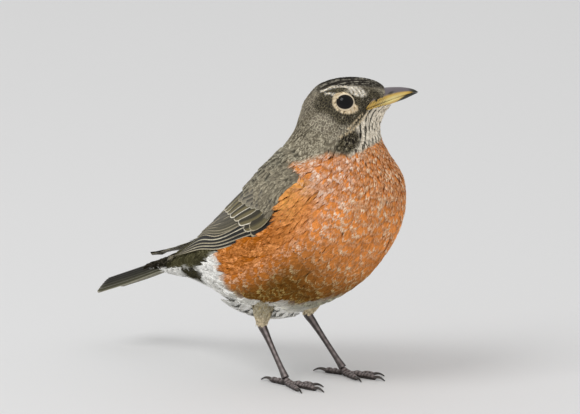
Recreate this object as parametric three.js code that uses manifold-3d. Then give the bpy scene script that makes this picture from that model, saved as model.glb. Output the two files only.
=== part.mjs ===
// American robin (Turdus migratorius), life size, standing alert with its head turned to its left.
// Millimetres, +Z up, +X the way the trunk faces, +Y the bird's left. The toes stand on Z = 0.
// The head, neck and trunk are one lofted skin line, parted at flat sections. The wings lie on it.

import * as THREE from "three";
import { mergeVertices } from "three/addons/utils/BufferGeometryUtils.js";
import Module from "manifold-3d";

const wasm = await Module();
wasm.setup();

// ---------------------------------------------------------------- driving dimensions

const GAP = 0.35; // clearance between pieces that touch
const BILL_GAP = 0.5; // clearance round the root of the bill
const HEAD_TURN = THREE.MathUtils.degToRad(38); // the head looks this far to the bird's left
const NECK_X = 22; // the upright line that the neck turns about
const RING_SIDES = 36; // corners of a body section

// Sections of the body from tail to bill: the point on the back [x, z], the point on the belly
// [x, z], the half width, the skew that widens the back half, and the share of the head's turn.
const BODY_SECTIONS = [
  [-106, 43, -105, 38.5, 5, 0, 0],
  [-92, 48.5, -91, 43, 6, 0, 0],
  [-79, 54.5, -76, 43, 10.5, 0, 0],
  [-65, 63, -62, 42.6, 16.5, -0.05, 0],
  [-49, 76, -43, 38.6, 24, -0.1, 0],
  [-34, 90.5, -19, 31, 30, -0.12, 0],
  [-20, 104.5, 11, 38.2, 33.5, -0.12, 0],
  [-9.5, 115.4, 36.8, 54.5, 34.5, -0.1, 0.02],
  [-4.3, 122.2, 54.8, 79, 33.2, -0.08, 0.1],
  [1.6, 130.4, 58.3, 101.5, 28.7, -0.04, 0.35],
  [4.2, 138.2, 50.2, 117.6, 22.5, 0, 0.7],
  [6.1, 144.5, 46.3, 126, 18.3, 0.05, 0.93],
  [9.1, 149.2, 45.3, 132.7, 15.6, 0.08, 1],
  [13.5, 153.8, 46.8, 137.7, 12.9, 0.3, 1],
  [20.2, 156.7, 48, 140.4, 11.2, 0.3, 1],
  [28, 158, 49.2, 141.8, 9, 0.25, 1],
  [36, 157.8, 50.3, 143, 6.9, 0.2, 1],
  [42, 156.4, 50.8, 143.9, 5.2, 0.1, 1],
  [45.5, 154.6, 51, 144.3, 4.3, 0.05, 1],
  [47.6, 152.6, 51, 145, 3.5, 0, 1],
];
const TRUNK_SPAN = [1, 8.6]; // first and last section of each piece, as places in that list
const NECK_SPAN = [8.635, 10.36];
const HEAD_SPAN = [10.41, 19];

// Folded wing: place along the body, angle of its upper and lower edge from the back, thickness.
const WING_SECTIONS = [
  [8.55, 48, 80, 1],
  [7.5, 30, 77, 1.9],
  [6.6, 20, 88, 2.2],
  [5.6, 15, 81, 2.2],
  [4.7, 16, 78, 2.1],
  [3.95, 26, 73.5, 1.9],
  [3.1, 46, 69.5, 1.5],
  [2.4, 59, 66, 1.1],
];
const WING_PARTS = [
  ["coverts", 0, 2.6],
  ["secondaries", 2.66, 4.8],
  ["primaries", 4.86, 7],
];
const LEFT_WING_REACH = 1.75; // the left wing's tip lies this much further along the body
const LEFT_TIP_LIFT = 4.6; // it stands this far off the tail
const LEFT_TIP_RISE = 22; // and lies this many degrees nearer the back
const WING_GAP = 0.55; // the wing's underside stands this far off the body
const WING_TIP_GAP = 1.2; // and the right wing's tip this much further

const EYE = { along: 27.5, height: 147.5, aside: 9.7, radius: 5.2 };

// Ridge, middle line and underside of the bill in the head's side view, from the face to the tip.
const BILL = {
  culmen: [
    [44, 152],
    [47.4, 152.7],
    [51.2, 153],
    [55.9, 153],
    [60.2, 152.4],
    [62.7, 151.6],
    [64.1, 150.7],
  ],
  commissure: [
    [37.6, 143.3],
    [43.5, 145],
    [47.5, 146.2],
    [52.4, 147.7],
    [57, 149.1],
    [60.5, 150],
    [64.1, 150.3],
  ],
  gonys: [
    [39, 141.6],
    [44.5, 142.9],
    [49.3, 144.1],
    [53, 145.3],
    [57.2, 146.8],
    [60.2, 148.2],
    [62.8, 149.5],
  ],
  halfWidth: [8.2, 5.7, 4.1, 3, 2.2, 1.4, 0.45],
};

const TAIL = {
  root: [-62, 59.6],
  tip: [-122, 35.4],
  rootHalfWidth: 6.5,
  tipHalfWidth: 11,
  droop: 5,
  rootThickness: 5.5,
  tipThickness: 1.1,
};

const LEGS = [
  {
    side: "right",
    knee: [-9.5, -16.5, 50],
    heel: [-13.6, -14.2, 28],
    foot: [6, -19.4, 3.4],
    heading: -4,
  },
  {
    side: "left",
    knee: [1, 16, 50],
    heel: [-7.4, 15.5, 29.6],
    foot: [14.2, 17.5, 3.4],
    heading: 2,
  },
];
const KNUCKLE_RADIUS = 1.9; // top of the shank, inside the thigh's feathers
const THIGH_RADII = [11, 8, 5.6, 4.7, 4, 2.7];
const SHANK_RADII = [2.4, 2, 1.65, 1.5, 1.5, 1.6, 2.1];
// Toe name, angle from the foot's heading towards the body's middle, length, radius, claw length.
const TOES = [
  ["inner", 27, 14.5, 1.35, 5],
  ["middle", 0, 20, 1.45, 5.8],
  ["outer", -26, 16, 1.3, 5],
  ["hind", 176, 10.5, 1.5, 7],
];

const CLAW_ARCH = 0.13; // rise of a claw's arch, in claw lengths

const COLOURS = {
  slate: "#4a4642",
  grey: "#6d675d",
  rust: "#c0642c",
  flight: "#4f4a43",
  horn: "#4a474b",
  yellow: "#d9a63a",
  eye: "#120d0b",
  shank: "#45332d",
  thigh: "#a2968a",
};

// ---------------------------------------------------------------- curves and surfaces

/** The row at place u of a list of rows, on a Catmull-Rom spline through all of them. */
function rowAt(rows, u) {
  const last = rows.length - 1;
  const i = Math.min(Math.max(Math.floor(u), 0), last - 1);
  const t = u - i;
  const mix = (a, b) => a.map((value, k) => 2 * value - b[k]);
  const p1 = rows[i];
  const p2 = rows[i + 1];
  const p0 = i > 0 ? rows[i - 1] : mix(p1, p2);
  const p3 = i + 2 <= last ? rows[i + 2] : mix(p2, p1);
  return p1.map(
    (_, k) =>
      0.5 *
      (2 * p1[k] +
        (p2[k] - p0[k]) * t +
        (2 * p0[k] - 5 * p1[k] + 4 * p2[k] - p3[k]) * t ** 2 +
        (3 * p1[k] - p0[k] - 3 * p2[k] + p3[k]) * t ** 3),
  );
}

/** A point given in the head's own side view, turned with the head about the neck. */
function turned(x, z, aside = 0, share = 1) {
  const angle = HEAD_TURN * share;
  const ahead = x - NECK_X;
  return new THREE.Vector3(
    NECK_X + ahead * Math.cos(angle) - aside * Math.sin(angle),
    ahead * Math.sin(angle) + aside * Math.cos(angle),
    z,
  );
}

/** The body's surface at section u and angle phi from the back towards the left. */
function bodySurface(u, phi) {
  const [backX, backZ, bellyX, bellyZ, half, skew, share] = rowAt(BODY_SECTIONS, u);
  const c = Math.cos(phi);
  return turned(
    (backX + bellyX) / 2 + ((backX - bellyX) / 2) * c,
    (backZ + bellyZ) / 2 + ((backZ - bellyZ) / 2) * c,
    half * Math.sin(phi) * (1 + skew * c),
    share,
  );
}

/** The body's surface moved out along its normal by lift. */
function bodyPoint(u, phi, lift = 0) {
  const at = bodySurface(u, phi);
  if (lift === 0) return at;
  const step = 0.01;
  const along = bodySurface(u + step, phi).sub(bodySurface(u - step, phi));
  const around = bodySurface(u, phi + step).sub(bodySurface(u, phi - step));
  return at.addScaledVector(along.cross(around).normalize(), lift);
}

/** A closed geometry from points and triangles, with its faces pointing out. */
function closedGeometry(points, triangles) {
  let volume = 0;
  for (const [a, b, c] of triangles)
    volume += points[a].dot(new THREE.Vector3().crossVectors(points[b], points[c]));
  const faces = volume < 0 ? triangles.map(([a, b, c]) => [a, c, b]) : triangles;
  const geometry = new THREE.BufferGeometry().setFromPoints(points);
  geometry.setIndex(faces.flat());
  return geometry;
}

/** A tube through rings of equal corner count, closed by a flat fan at each end. */
function tubeFromRings(rings) {
  const sides = rings[0].length;
  const points = rings.flat();
  const triangles = [];
  for (let i = 0; i + 1 < rings.length; i++)
    for (let j = 0; j < sides; j++) {
      const [a, b] = [i * sides + j, i * sides + ((j + 1) % sides)];
      triangles.push([a, a + sides, b + sides], [a, b + sides, b]);
    }
  for (const [ring, start] of [[rings[0], 0], [rings.at(-1), points.length - sides]]) {
    const centre = ring.reduce((sum, p) => sum.add(p), new THREE.Vector3()).divideScalar(sides);
    points.push(centre);
    for (let j = 0; j < sides; j++) {
      const edge = [start + j, start + ((j + 1) % sides)];
      triangles.push([...(start === 0 ? edge : edge.reverse()), points.length - 1]);
    }
  }
  return closedGeometry(points, triangles);
}

/** A slab between an outer and an inner surface over the unit square. */
function slab(outer, inner, rows, columns) {
  const width = columns + 1;
  const sheet = (surface) =>
    Array.from({ length: (rows + 1) * width }, (_, n) =>
      surface(Math.floor(n / width) / rows, (n % width) / columns),
    );
  const points = [...sheet(outer), ...sheet(inner)];
  const under = (rows + 1) * width;
  const triangles = [];
  for (let i = 0; i < rows; i++)
    for (let j = 0; j < columns; j++) {
      const a = i * width + j;
      const [b, c, d] = [a + 1, a + width + 1, a + width];
      triangles.push([a, b, c], [a, c, d]);
      triangles.push([b + under, a + under, c + under], [c + under, a + under, d + under]);
    }
  const wall = (a, b) => triangles.push([b, a, a + under], [b, a + under, b + under]);
  for (let j = 0; j < columns; j++) {
    wall(j, j + 1);
    wall(rows * width + j + 1, rows * width + j);
  }
  for (let i = 0; i < rows; i++) {
    wall((i + 1) * width, i * width);
    wall(i * width + columns, (i + 1) * width + columns);
  }
  return closedGeometry(points, triangles);
}

/** A round tube along points, with one radius for each. */
function roundTube(path, radii, sides) {
  const tangentAt = (i) =>
    new THREE.Vector3()
      .subVectors(path[Math.min(i + 1, path.length - 1)], path[Math.max(i - 1, 0)])
      .normalize();
  return tubeFromRings(
    path.map((centre, i) => {
      const across = new THREE.Vector3(0, 1, 0).cross(tangentAt(i)).normalize();
      const aside = new THREE.Vector3().crossVectors(tangentAt(i), across).normalize();
      return Array.from({ length: sides }, (_, j) => {
        const turn = (2 * Math.PI * (j + 0.5)) / sides;
        return centre
          .clone()
          .addScaledVector(across, radii[i] * Math.cos(turn))
          .addScaledVector(aside, radii[i] * Math.sin(turn));
      });
    }),
  );
}

const vector = (p) => new THREE.Vector3(...p);
const between = (a, b, share) => new THREE.Vector3().lerpVectors(a, b, share);

// ---------------------------------------------------------------- solids and booleans

/** A geometry as a solid that can be joined and cut. */
function solid(geometry) {
  const bare = geometry.clone();
  bare.deleteAttribute("normal");
  bare.deleteAttribute("uv");
  const merged = mergeVertices(bare, 1e-4);
  return new wasm.Manifold(
    new wasm.Mesh({
      numProp: 3,
      vertProperties: merged.attributes.position.array,
      triVerts: new Uint32Array(merged.index.array),
    }),
  );
}

/** The largest body of a solid, as a geometry. */
function geometryOf(made) {
  const body = made.decompose().sort((a, b) => b.volume() - a.volume())[0];
  const mesh = body.getMesh();
  const geometry = new THREE.BufferGeometry();
  geometry.setAttribute("position", new THREE.BufferAttribute(new Float32Array(mesh.vertProperties), 3));
  geometry.setIndex(new THREE.BufferAttribute(new Uint32Array(mesh.triVerts), 1));
  return geometry;
}

const robin = new THREE.Group();

/** Adds one named piece to the bird. */
function addPiece(name, geometry, colour, roughness = 0.8) {
  geometry.computeVertexNormals();
  const material = new THREE.MeshStandardMaterial({ color: colour, roughness, metalness: 0 });
  const mesh = new THREE.Mesh(geometry, material);
  mesh.name = name;
  robin.add(mesh);
}

// ---------------------------------------------------------------- trunk, neck and head

/** The body between two sections, moved out by lift. */
function bodyLength([from, to], rings, lift = 0) {
  const ringAt = (i) =>
    Array.from({ length: RING_SIDES }, (_, j) =>
      bodyPoint(from + ((to - from) * i) / rings, (2 * Math.PI * j) / RING_SIDES, lift),
    );
  return tubeFromRings(Array.from({ length: rings + 1 }, (_, i) => ringAt(i)));
}

/** One half of the bill: half rings from its ridge to the middle line. A lower swell is squarer. */
function mandible(edge, middle, swell) {
  const sides = 8;
  const rings = edge.map((_, i) => {
    const [edgeX, edgeZ] = edge[i];
    const [midX, midZ] = middle[i];
    return Array.from({ length: sides + 1 }, (_, j) => {
      const turn = (Math.PI * j) / sides;
      const away = Math.sin(turn) ** swell;
      return turned(
        midX + (edgeX - midX) * away,
        midZ + (edgeZ - midZ) * away,
        BILL.halfWidth[i] * Math.cos(turn),
      );
    });
  });
  return tubeFromRings(rings);
}

/** The line where the two halves of the bill meet, moved up or down so that they part. */
const commissureMoved = (dz) => BILL.commissure.map(([x, z]) => [x, z + dz]);

const billUpper = mandible(BILL.culmen, commissureMoved(GAP / 2), 0.8);
const billLower = mandible(BILL.gonys, commissureMoved(-GAP / 2), 0.7);

/** A geometry grown by gap along its normals, to cut clearance for it. */
function grown(geometry, gap) {
  const merged = mergeVertices(geometry.clone(), 1e-4);
  merged.computeVertexNormals();
  const { position, normal } = merged.attributes;
  for (let i = 0; i < position.count; i++)
    position.setXYZ(
      i,
      position.getX(i) + normal.getX(i) * gap,
      position.getY(i) + normal.getY(i) * gap,
      position.getZ(i) + normal.getZ(i) * gap,
    );
  merged.deleteAttribute("normal");
  return merged;
}

/** An eye on one side of the head (1 left, -1 right), or its socket when extra is added. */
function eyeball(side, extra = 0) {
  const at = turned(EYE.along, EYE.height, side * EYE.aside);
  return new THREE.SphereGeometry(EYE.radius + extra, 14, 10).translate(at.x, at.y, at.z);
}

/** The trunk, the neck, the head, the eyes and the bill. */
function buildBody() {
  addPiece("trunk", bodyLength(TRUNK_SPAN, 24), COLOURS.rust);
  addPiece("neck", bodyLength(NECK_SPAN, 6), COLOURS.grey);
  const sockets = [eyeball(-1, GAP), eyeball(1, GAP), grown(billUpper, BILL_GAP), grown(billLower, BILL_GAP)];
  let head = solid(bodyLength(HEAD_SPAN, 15));
  for (const socket of sockets) head = head.subtract(solid(socket));
  addPiece("head", geometryOf(head), COLOURS.slate);
  addPiece("eye_right", eyeball(-1), COLOURS.eye, 0.1);
  addPiece("eye_left", eyeball(1), COLOURS.eye, 0.1);
  addPiece("bill_upper", billUpper, COLOURS.horn, 0.4);
  addPiece("bill_lower", billLower, COLOURS.yellow, 0.4);
}

// ---------------------------------------------------------------- wings and tail

/** A point of a folded wing at row place r, share t from its upper to its lower edge. */
function wingPoint(side, r, t, share) {
  const [u, upper, lower, thick] = rowAt(WING_SECTIONS, r);
  const isLeft = side > 0;
  const tipShare = THREE.MathUtils.smoothstep(r, 3.5, WING_SECTIONS.length - 1);
  const place = u - (isLeft ? LEFT_WING_REACH * tipShare : 0);
  const rise = isLeft ? LEFT_TIP_RISE * tipShare : 0;
  const phi = THREE.MathUtils.degToRad(upper + (lower - upper) * t - rise) * side;
  const crown = 0.5 + 0.5 * Math.sin(Math.PI * Math.min(Math.max(t, 0), 1)) ** 0.6;
  const off = WING_GAP + (isLeft ? LEFT_TIP_LIFT : WING_TIP_GAP) * tipShare ** 2;
  return bodyPoint(place, phi, off + thick * crown * share);
}

/** A wing on one side (1 left, -1 right), parted into its three groups of feathers. */
function buildWing(name, side) {
  for (const [part, from, to] of WING_PARTS) {
    const rowPlace = (s) => from + (to - from) * s;
    const outer = (s, t) => wingPoint(side, rowPlace(s), t, 1);
    const inner = (s, t) => wingPoint(side, rowPlace(s), t, 0);
    const colour = part === "coverts" ? COLOURS.grey : COLOURS.flight;
    addPiece(`${name}_${part}`, slab(outer, inner, 6, 7), colour);
  }
}

/** The tail's arched blade: s runs from root to tip and t across it. */
function tailPoint(s, t, face) {
  const across = 2 * t - 1;
  const rounding = 1 - 0.045 * across ** 4 * THREE.MathUtils.smoothstep(s, 0.5, 1);
  const x = TAIL.root[0] + (TAIL.tip[0] - TAIL.root[0]) * s * rounding;
  const z = TAIL.root[1] + (TAIL.tip[1] - TAIL.root[1]) * s * rounding;
  const half = THREE.MathUtils.lerp(TAIL.rootHalfWidth, TAIL.tipHalfWidth, s ** 0.7);
  const thickness = THREE.MathUtils.lerp(TAIL.rootThickness, TAIL.tipThickness, s);
  const edge = 1 - 0.6 * across ** 6;
  return new THREE.Vector3(x, half * across, z - TAIL.droop * across ** 2 + thickness * edge * face);
}

/** The tail, cut back from the trunk and the wings' tips. */
function buildTail(trunkCutter, wingCutters) {
  const blade = slab(
    (s, t) => tailPoint(s, t, 0.5),
    (s, t) => tailPoint(s, t, -0.5),
    10,
    8,
  );
  let made = solid(blade).subtract(trunkCutter);
  for (const cutter of wingCutters) made = made.subtract(cutter);
  addPiece("tail", geometryOf(made), COLOURS.flight);
}

// ---------------------------------------------------------------- legs

/** The feathered thigh, from the knee to the heel. Returns the solid that clears it. */
function buildThigh(leg, trunkCutter) {
  const [knee, heel] = [vector(leg.knee), vector(leg.heel)];
  const steps = THIGH_RADII.length - 1;
  const path = THIGH_RADII.map((_, i) => between(knee, heel, (i / steps) * 0.93));
  const made = solid(roundTube(path, THIGH_RADII, 14)).subtract(trunkCutter);
  addPiece(`thigh_${leg.side}`, geometryOf(made), COLOURS.thigh);
  return solid(grown(roundTube(path, THIGH_RADII, 14), GAP));
}

/** The bare shank from the heel to the foot, as a solid that the toes still have to clear. */
function buildShank(leg, thighCutter) {
  const [heel, foot] = [vector(leg.heel), vector(leg.foot)];
  const steps = SHANK_RADII.length - 1;
  const path = SHANK_RADII.map((_, i) => between(heel, foot, (i / steps) * 0.985));
  path.unshift(between(vector(leg.knee), heel, 0.86));
  return solid(roundTube(path, [KNUCKLE_RADIUS, ...SHANK_RADII], 10)).subtract(thighCutter);
}

/** Presses whatever lies below the floor flat onto it. */
function flatOnFloor(geometry) {
  const { position } = geometry.attributes;
  for (let i = 0; i < position.count; i++) position.setZ(i, Math.max(position.getZ(i), 0));
  return geometry;
}

/** The places along a toe: its share of the length from the foot, at a height. */
function toePath(leg, angle, length) {
  const inward = leg.side === "left" ? -1 : 1;
  const bearing = THREE.MathUtils.degToRad(leg.heading + angle * inward);
  const foot = vector(leg.foot);
  const direction = new THREE.Vector3(Math.cos(bearing), Math.sin(bearing), 0);
  return (share, height) =>
    foot.clone().setZ(height).addScaledVector(direction, length * share);
}

/** A toe with its joints' pads, its underside flat on the floor. */
function toeTube(leg, [, angle, length, radius]) {
  const at = toePath(leg, angle, length);
  const shares = [0, 0.18, 0.32, 0.46, 0.6, 0.74, 0.9, 1];
  const swell = [1.25, 1.1, 0.92, 1.12, 0.9, 1.1, 0.98, 0.7];
  const radii = swell.map((factor) => factor * radius);
  const path = shares.map((share, i) => at(share, i === 0 ? leg.foot[2] - 0.8 : radii[i] * 0.86));
  return flatOnFloor(roundTube(path, radii, 7));
}

/** A claw that arches up from the toe's end and comes down to the floor at its tip. */
function clawTube(leg, [, angle, length, radius, clawLength]) {
  const at = toePath(leg, angle, length);
  const start = 1 + (GAP + 0.4) / length;
  const steps = 5;
  const radii = Array.from({ length: steps + 1 }, (_, i) => radius * (0.62 - (0.4 * i) / steps));
  const path = radii.map((thickness, i) => {
    const s = i / steps;
    const arch = CLAW_ARCH * clawLength * 4 * s * (1 - s);
    const height = THREE.MathUtils.lerp(radius * 0.8, thickness * 0.8, s) + arch;
    return at(start + (s * clawLength) / length, height);
  });
  return flatOnFloor(roundTube(path, radii, 6));
}

/** The shank, the four toes as one piece, and their claws. */
function buildFoot(leg, shank) {
  const toes = TOES.map((toe) => solid(toeTube(leg, toe)));
  const claws = TOES.map((toe) => clawTube(leg, toe));
  const foot = toes.reduce((sum, toe) => sum.add(toe));
  const shankCutter = solid(grown(geometryOf(foot), GAP));
  addPiece(`shank_${leg.side}`, geometryOf(shank.subtract(shankCutter)), COLOURS.shank, 0.5);
  addPiece(`toes_${leg.side}`, geometryOf(foot), COLOURS.shank, 0.5);
  TOES.forEach(([name], i) => addPiece(`claw_${name}_${leg.side}`, claws[i], COLOURS.horn, 0.4));
}

// ---------------------------------------------------------------- assembly

buildBody();
buildWing("wing_right", -1);
buildWing("wing_left", 1);
const trunkCutter = solid(bodyLength([TRUNK_SPAN[0] - 0.03, TRUNK_SPAN[1]], 24, GAP));
const wingCutters = robin.children
  .filter((piece) => /^wing.*primaries$/.test(piece.name))
  .map((piece) => solid(grown(piece.geometry, GAP)));
buildTail(trunkCutter, wingCutters);
for (const leg of LEGS) {
  const thighCutter = buildThigh(leg, trunkCutter);
  buildFoot(leg, buildShank(leg, thighCutter));
}

// The origin is the middle of the footprint, on the floor.
const reach = new THREE.Box3().setFromObject(robin);
robin.position.set(-(reach.min.x + reach.max.x) / 2, -(reach.min.y + reach.max.y) / 2, -reach.min.z);

export default robin;
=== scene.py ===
"""American robin, life size: the skin, coat, wings, tail, bill, eyes and legs round its solids.

Lengths are in millimetres in the bird's own axes (+X the way the trunk faces, +Y its left, +Z up,
floor at zero) until a mesh is made, which turns them into metres in the frame.
"""

from __future__ import annotations

import logging
import math
from dataclasses import dataclass, field, replace
from enum import Enum
from typing import Callable, Sequence, Union

import bpy
import numpy as np
from mathutils import Matrix, Vector
from mathutils.kdtree import KDTree


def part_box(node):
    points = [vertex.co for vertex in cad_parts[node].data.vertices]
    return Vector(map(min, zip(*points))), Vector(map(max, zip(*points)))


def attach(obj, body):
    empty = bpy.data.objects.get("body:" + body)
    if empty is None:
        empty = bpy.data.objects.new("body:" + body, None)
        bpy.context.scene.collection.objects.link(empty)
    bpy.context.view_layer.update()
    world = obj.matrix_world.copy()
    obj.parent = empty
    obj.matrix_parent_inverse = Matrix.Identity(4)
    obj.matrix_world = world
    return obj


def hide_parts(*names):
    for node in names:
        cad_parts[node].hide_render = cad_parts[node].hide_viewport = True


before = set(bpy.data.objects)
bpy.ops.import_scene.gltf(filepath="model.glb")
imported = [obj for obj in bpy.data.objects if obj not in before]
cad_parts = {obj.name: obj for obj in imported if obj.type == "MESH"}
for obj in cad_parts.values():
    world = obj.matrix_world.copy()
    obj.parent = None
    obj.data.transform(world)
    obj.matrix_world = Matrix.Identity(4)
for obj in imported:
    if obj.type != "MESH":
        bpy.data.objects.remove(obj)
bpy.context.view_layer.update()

LOG = logging.getLogger("robin")
Array = np.ndarray
Pair = tuple[float, float]
Pairs = tuple[Pair, ...]
MM = 0.001
RIGHT, LEFT = -1, 1

# --- the bird's own lines

HEAD_TURN = math.radians(38)  # the head looks this far to the bird's left
NECK_X = 22.0  # the upright line that the neck turns about
VIEW_DROP = math.tan(math.radians(12))  # markings were set out as seen from this far above

# The point on the back (x, z), the point on the belly (x, z), the half width, the skew that
# widens the back half, and the share of the head's turn, from tail to bill.
BODY_SECTIONS = np.array([
    (-106, 43, -105, 38.5, 5, 0, 0),
    (-92, 48.5, -91, 43, 6, 0, 0),
    (-79, 54.5, -76, 43, 10.5, 0, 0),
    (-65, 63, -62, 42.6, 16.5, -0.05, 0),
    (-49, 76, -43, 38.6, 24, -0.1, 0),
    (-34, 90.5, -19, 31, 30, -0.12, 0),
    (-20, 104.5, 11, 38.2, 33.5, -0.12, 0),
    (-9.5, 115.4, 36.8, 54.5, 34.5, -0.1, 0.02),
    (-4.3, 122.2, 54.8, 79, 33.2, -0.08, 0.1),
    (1.6, 130.4, 58.3, 101.5, 28.7, -0.04, 0.35),
    (4.2, 138.2, 50.2, 117.6, 22.5, 0, 0.7),
    (6.1, 144.5, 46.3, 126, 18.3, 0.05, 0.93),
    (9.1, 149.2, 45.3, 132.7, 15.6, 0.08, 1),
    (13.5, 153.8, 46.8, 137.7, 12.9, 0.3, 1),
    (20.2, 156.7, 48, 140.4, 11.2, 0.3, 1),
    (28, 158, 49.2, 141.8, 9, 0.25, 1),
    (36, 157.8, 50.3, 143, 6.9, 0.2, 1),
    (42, 156.4, 50.8, 143.9, 5.2, 0.1, 1),
    (45.5, 154.6, 51, 144.3, 4.3, 0.05, 1),
    (47.6, 152.6, 51, 145, 3.5, 0, 1),
], dtype=float)
LAST_SECTION = len(BODY_SECTIONS) - 1

# Folded wing: place along the body, angle of the upper and lower edge from the back, thickness.
WING_SECTIONS = np.array([
    (8.55, 48, 80, 1),
    (7.5, 30, 77, 1.9),
    (6.6, 20, 88, 2.2),
    (5.6, 15, 81, 2.2),
    (4.7, 16, 78, 2.1),
    (3.95, 26, 73.5, 1.9),
    (3.1, 46, 69.5, 1.5),
    (2.4, 59, 66, 1.1),
], dtype=float)
WING_FOLD = 3.5  # place along the wing where its tip starts to stand off the body
WING_GAP = 0.55  # height of the wing's edges over the body, in mm
WING_TIP_GAP = 1.2  # further height of the tip
LEFT_WING_REACH = 1.65  # sections that the left tip reaches further back
LEFT_TIP_LIFT = 4.9  # further height of the left tip, in mm
LEFT_TIP_BEND = 0.4  # how much sooner it lifts than a straight tip
LEFT_TIP_RISE = 22.0  # degrees that it lies nearer to the back

EYE_CENTRE = (27.5, 9.7, 147.5)  # along the bill, aside, up, before the head turns
EYE_RADIUS = 5.2
EYE_PLACE = (27.1, 145.15)  # the eye's middle in the side view
EYE_HALF = (4.05, 3.5)  # half length and half height of its opening


def spline(rows: Array, place: Array) -> Array:
    """Catmull-Rom curve through rows of numbers, carried on straight past both ends.

    Args:
        rows: The rows, one for each whole place.
        place: Places along the rows, of any shape.

    Returns:
        One row for each place.
    """
    last = len(rows) - 1
    padded = np.vstack([2 * rows[0] - rows[1], rows, 2 * rows[-1] - rows[-2]])
    cell = np.clip(np.floor(place).astype(int), 0, last - 1)
    t = (place - cell)[..., None]
    p0, p1, p2, p3 = (padded[cell + k] for k in range(4))
    square = (2 * p0 - 5 * p1 + 4 * p2 - p3) * t**2
    cube = (3 * p1 - p0 - 3 * p2 + p3) * t**3
    return 0.5 * (2 * p1 + (p2 - p0) * t + square + cube)


def smooth(low: float | Array, high: float | Array, value: Array) -> Array:
    """Smoothstep from 0 at low to 1 at high."""
    t = np.clip((value - low) / (np.asarray(high) - low), 0, 1)
    return t * t * (3 - 2 * t)


def run_between(ends: tuple[Array | float, Array | float], share: Array) -> Array:
    """Values that run evenly from the first to the second of two ends."""
    return ends[0] + (ends[1] - ends[0]) * share


def between(edges: Sequence[float], value: Array) -> Array:
    """1 between the two middle edges, 0 outside the outer two and smooth from one to the other."""
    return smooth(edges[0], edges[1], value) * smooth(edges[3], edges[2], value)


def along_table(place: Array, table: Pairs) -> Array:
    """The second numbers of a table where its first numbers are place."""
    return np.interp(place, *zip(*table))


def unit(vectors: Array) -> Array:
    """Vectors scaled to length one."""
    return vectors / np.maximum(np.linalg.norm(vectors, axis=-1, keepdims=True), 1e-9)


def in_plane(vectors: Array, normal: Array) -> Array:
    """The part of vectors that lies across a normal, scaled to length one."""
    return unit(vectors - normal * np.sum(vectors * normal, axis=-1, keepdims=True))


def turn_head(points: Array, share: Array | float = 1.0) -> Array:
    """Turns points of the straight bird about the neck.

    Args:
        points: Points before the head turns.
        share: How much of the head's turn each point makes.

    Returns:
        The points after it.
    """
    angle = HEAD_TURN * share
    ahead = points[..., 0] - NECK_X
    cos, sin = np.cos(angle), np.sin(angle)
    return np.stack([
        NECK_X + ahead * cos - points[..., 1] * sin,
        ahead * sin + points[..., 1] * cos,
        points[..., 2],
    ], axis=-1)


def frame_shift() -> Array:
    """Where the bird's own origin lies in the frame, found from the right eye."""
    low, high = (np.array(corner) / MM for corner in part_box("eye_right"))
    along, aside, up = EYE_CENTRE
    return (low + high) / 2 - turn_head(np.array([along, -aside, up]))


SHIFT = frame_shift()


# --- beds that feathers lie on


class Bed:
    """A surface with two parameters that feathers lie on: a along it and b across it.

    flow is 1 where feathers point towards more a and -1 where they point towards less, and
    outward is the sign that makes the cross product of the two tangents point out.
    """

    flow = 1.0
    outward = 1.0

    def bare(self, a: Array, b: Array) -> Array:
        """Points of the surface itself."""
        raise NotImplementedError

    def tangents(self, a: Array, b: Array) -> tuple[Array, Array]:
        """Change of the surface for one unit of a and of b, by central differences.

        Args:
            a, b: Places on the bed.

        Returns:
            The change along it and the change across it.
        """
        h = 1e-3
        along = (self.bare(a + h, b) - self.bare(a - h, b)) / (2 * h)
        across = (self.bare(a, b + h) - self.bare(a, b - h)) / (2 * h)
        return along, across

    def normal(self, a: Array, b: Array) -> Array:
        """Outward unit normals."""
        return unit(np.cross(*self.tangents(a, b))) * self.outward

    def directions(self, a: Array, b: Array) -> tuple[Array, Array, Array, Array]:
        """The tangents along and across, the outward normal and the way that feathers lie."""
        along, across = self.tangents(a, b)
        return along, across, unit(np.cross(along, across)) * self.outward, unit(along) * self.flow

    def point(self, a: Array, b: Array, lift: Array | float = 0.0) -> Array:
        """Points of the surface raised along its normal by lift."""
        a, b = np.broadcast_arrays(a, b)
        return self.bare(a, b) + self.normal(a, b) * np.asarray(lift, dtype=float)[..., None]


def in_parameters(along: Array, across: Array, vector: Array) -> tuple[Array, Array]:
    """The change of a and b that moves a point by a tangent vector.

    It solves the two equations that the surface's lengths and angles give, by Cramer's rule.

    Args:
        along, across: The bed's tangents.
        vector: The way to go.

    Returns:
        The change of a and that of b.
    """
    pairs = ((along, along), (along, across), (across, across))
    aa, ab, bb = (np.sum(p * q, axis=-1) for p, q in pairs)
    va, vb = np.sum(vector * along, axis=-1), np.sum(vector * across, axis=-1)
    area = np.maximum(aa * bb - ab**2, 1e-9)
    return (va * bb - vb * ab) / area, (vb * aa - va * ab) / area


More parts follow.
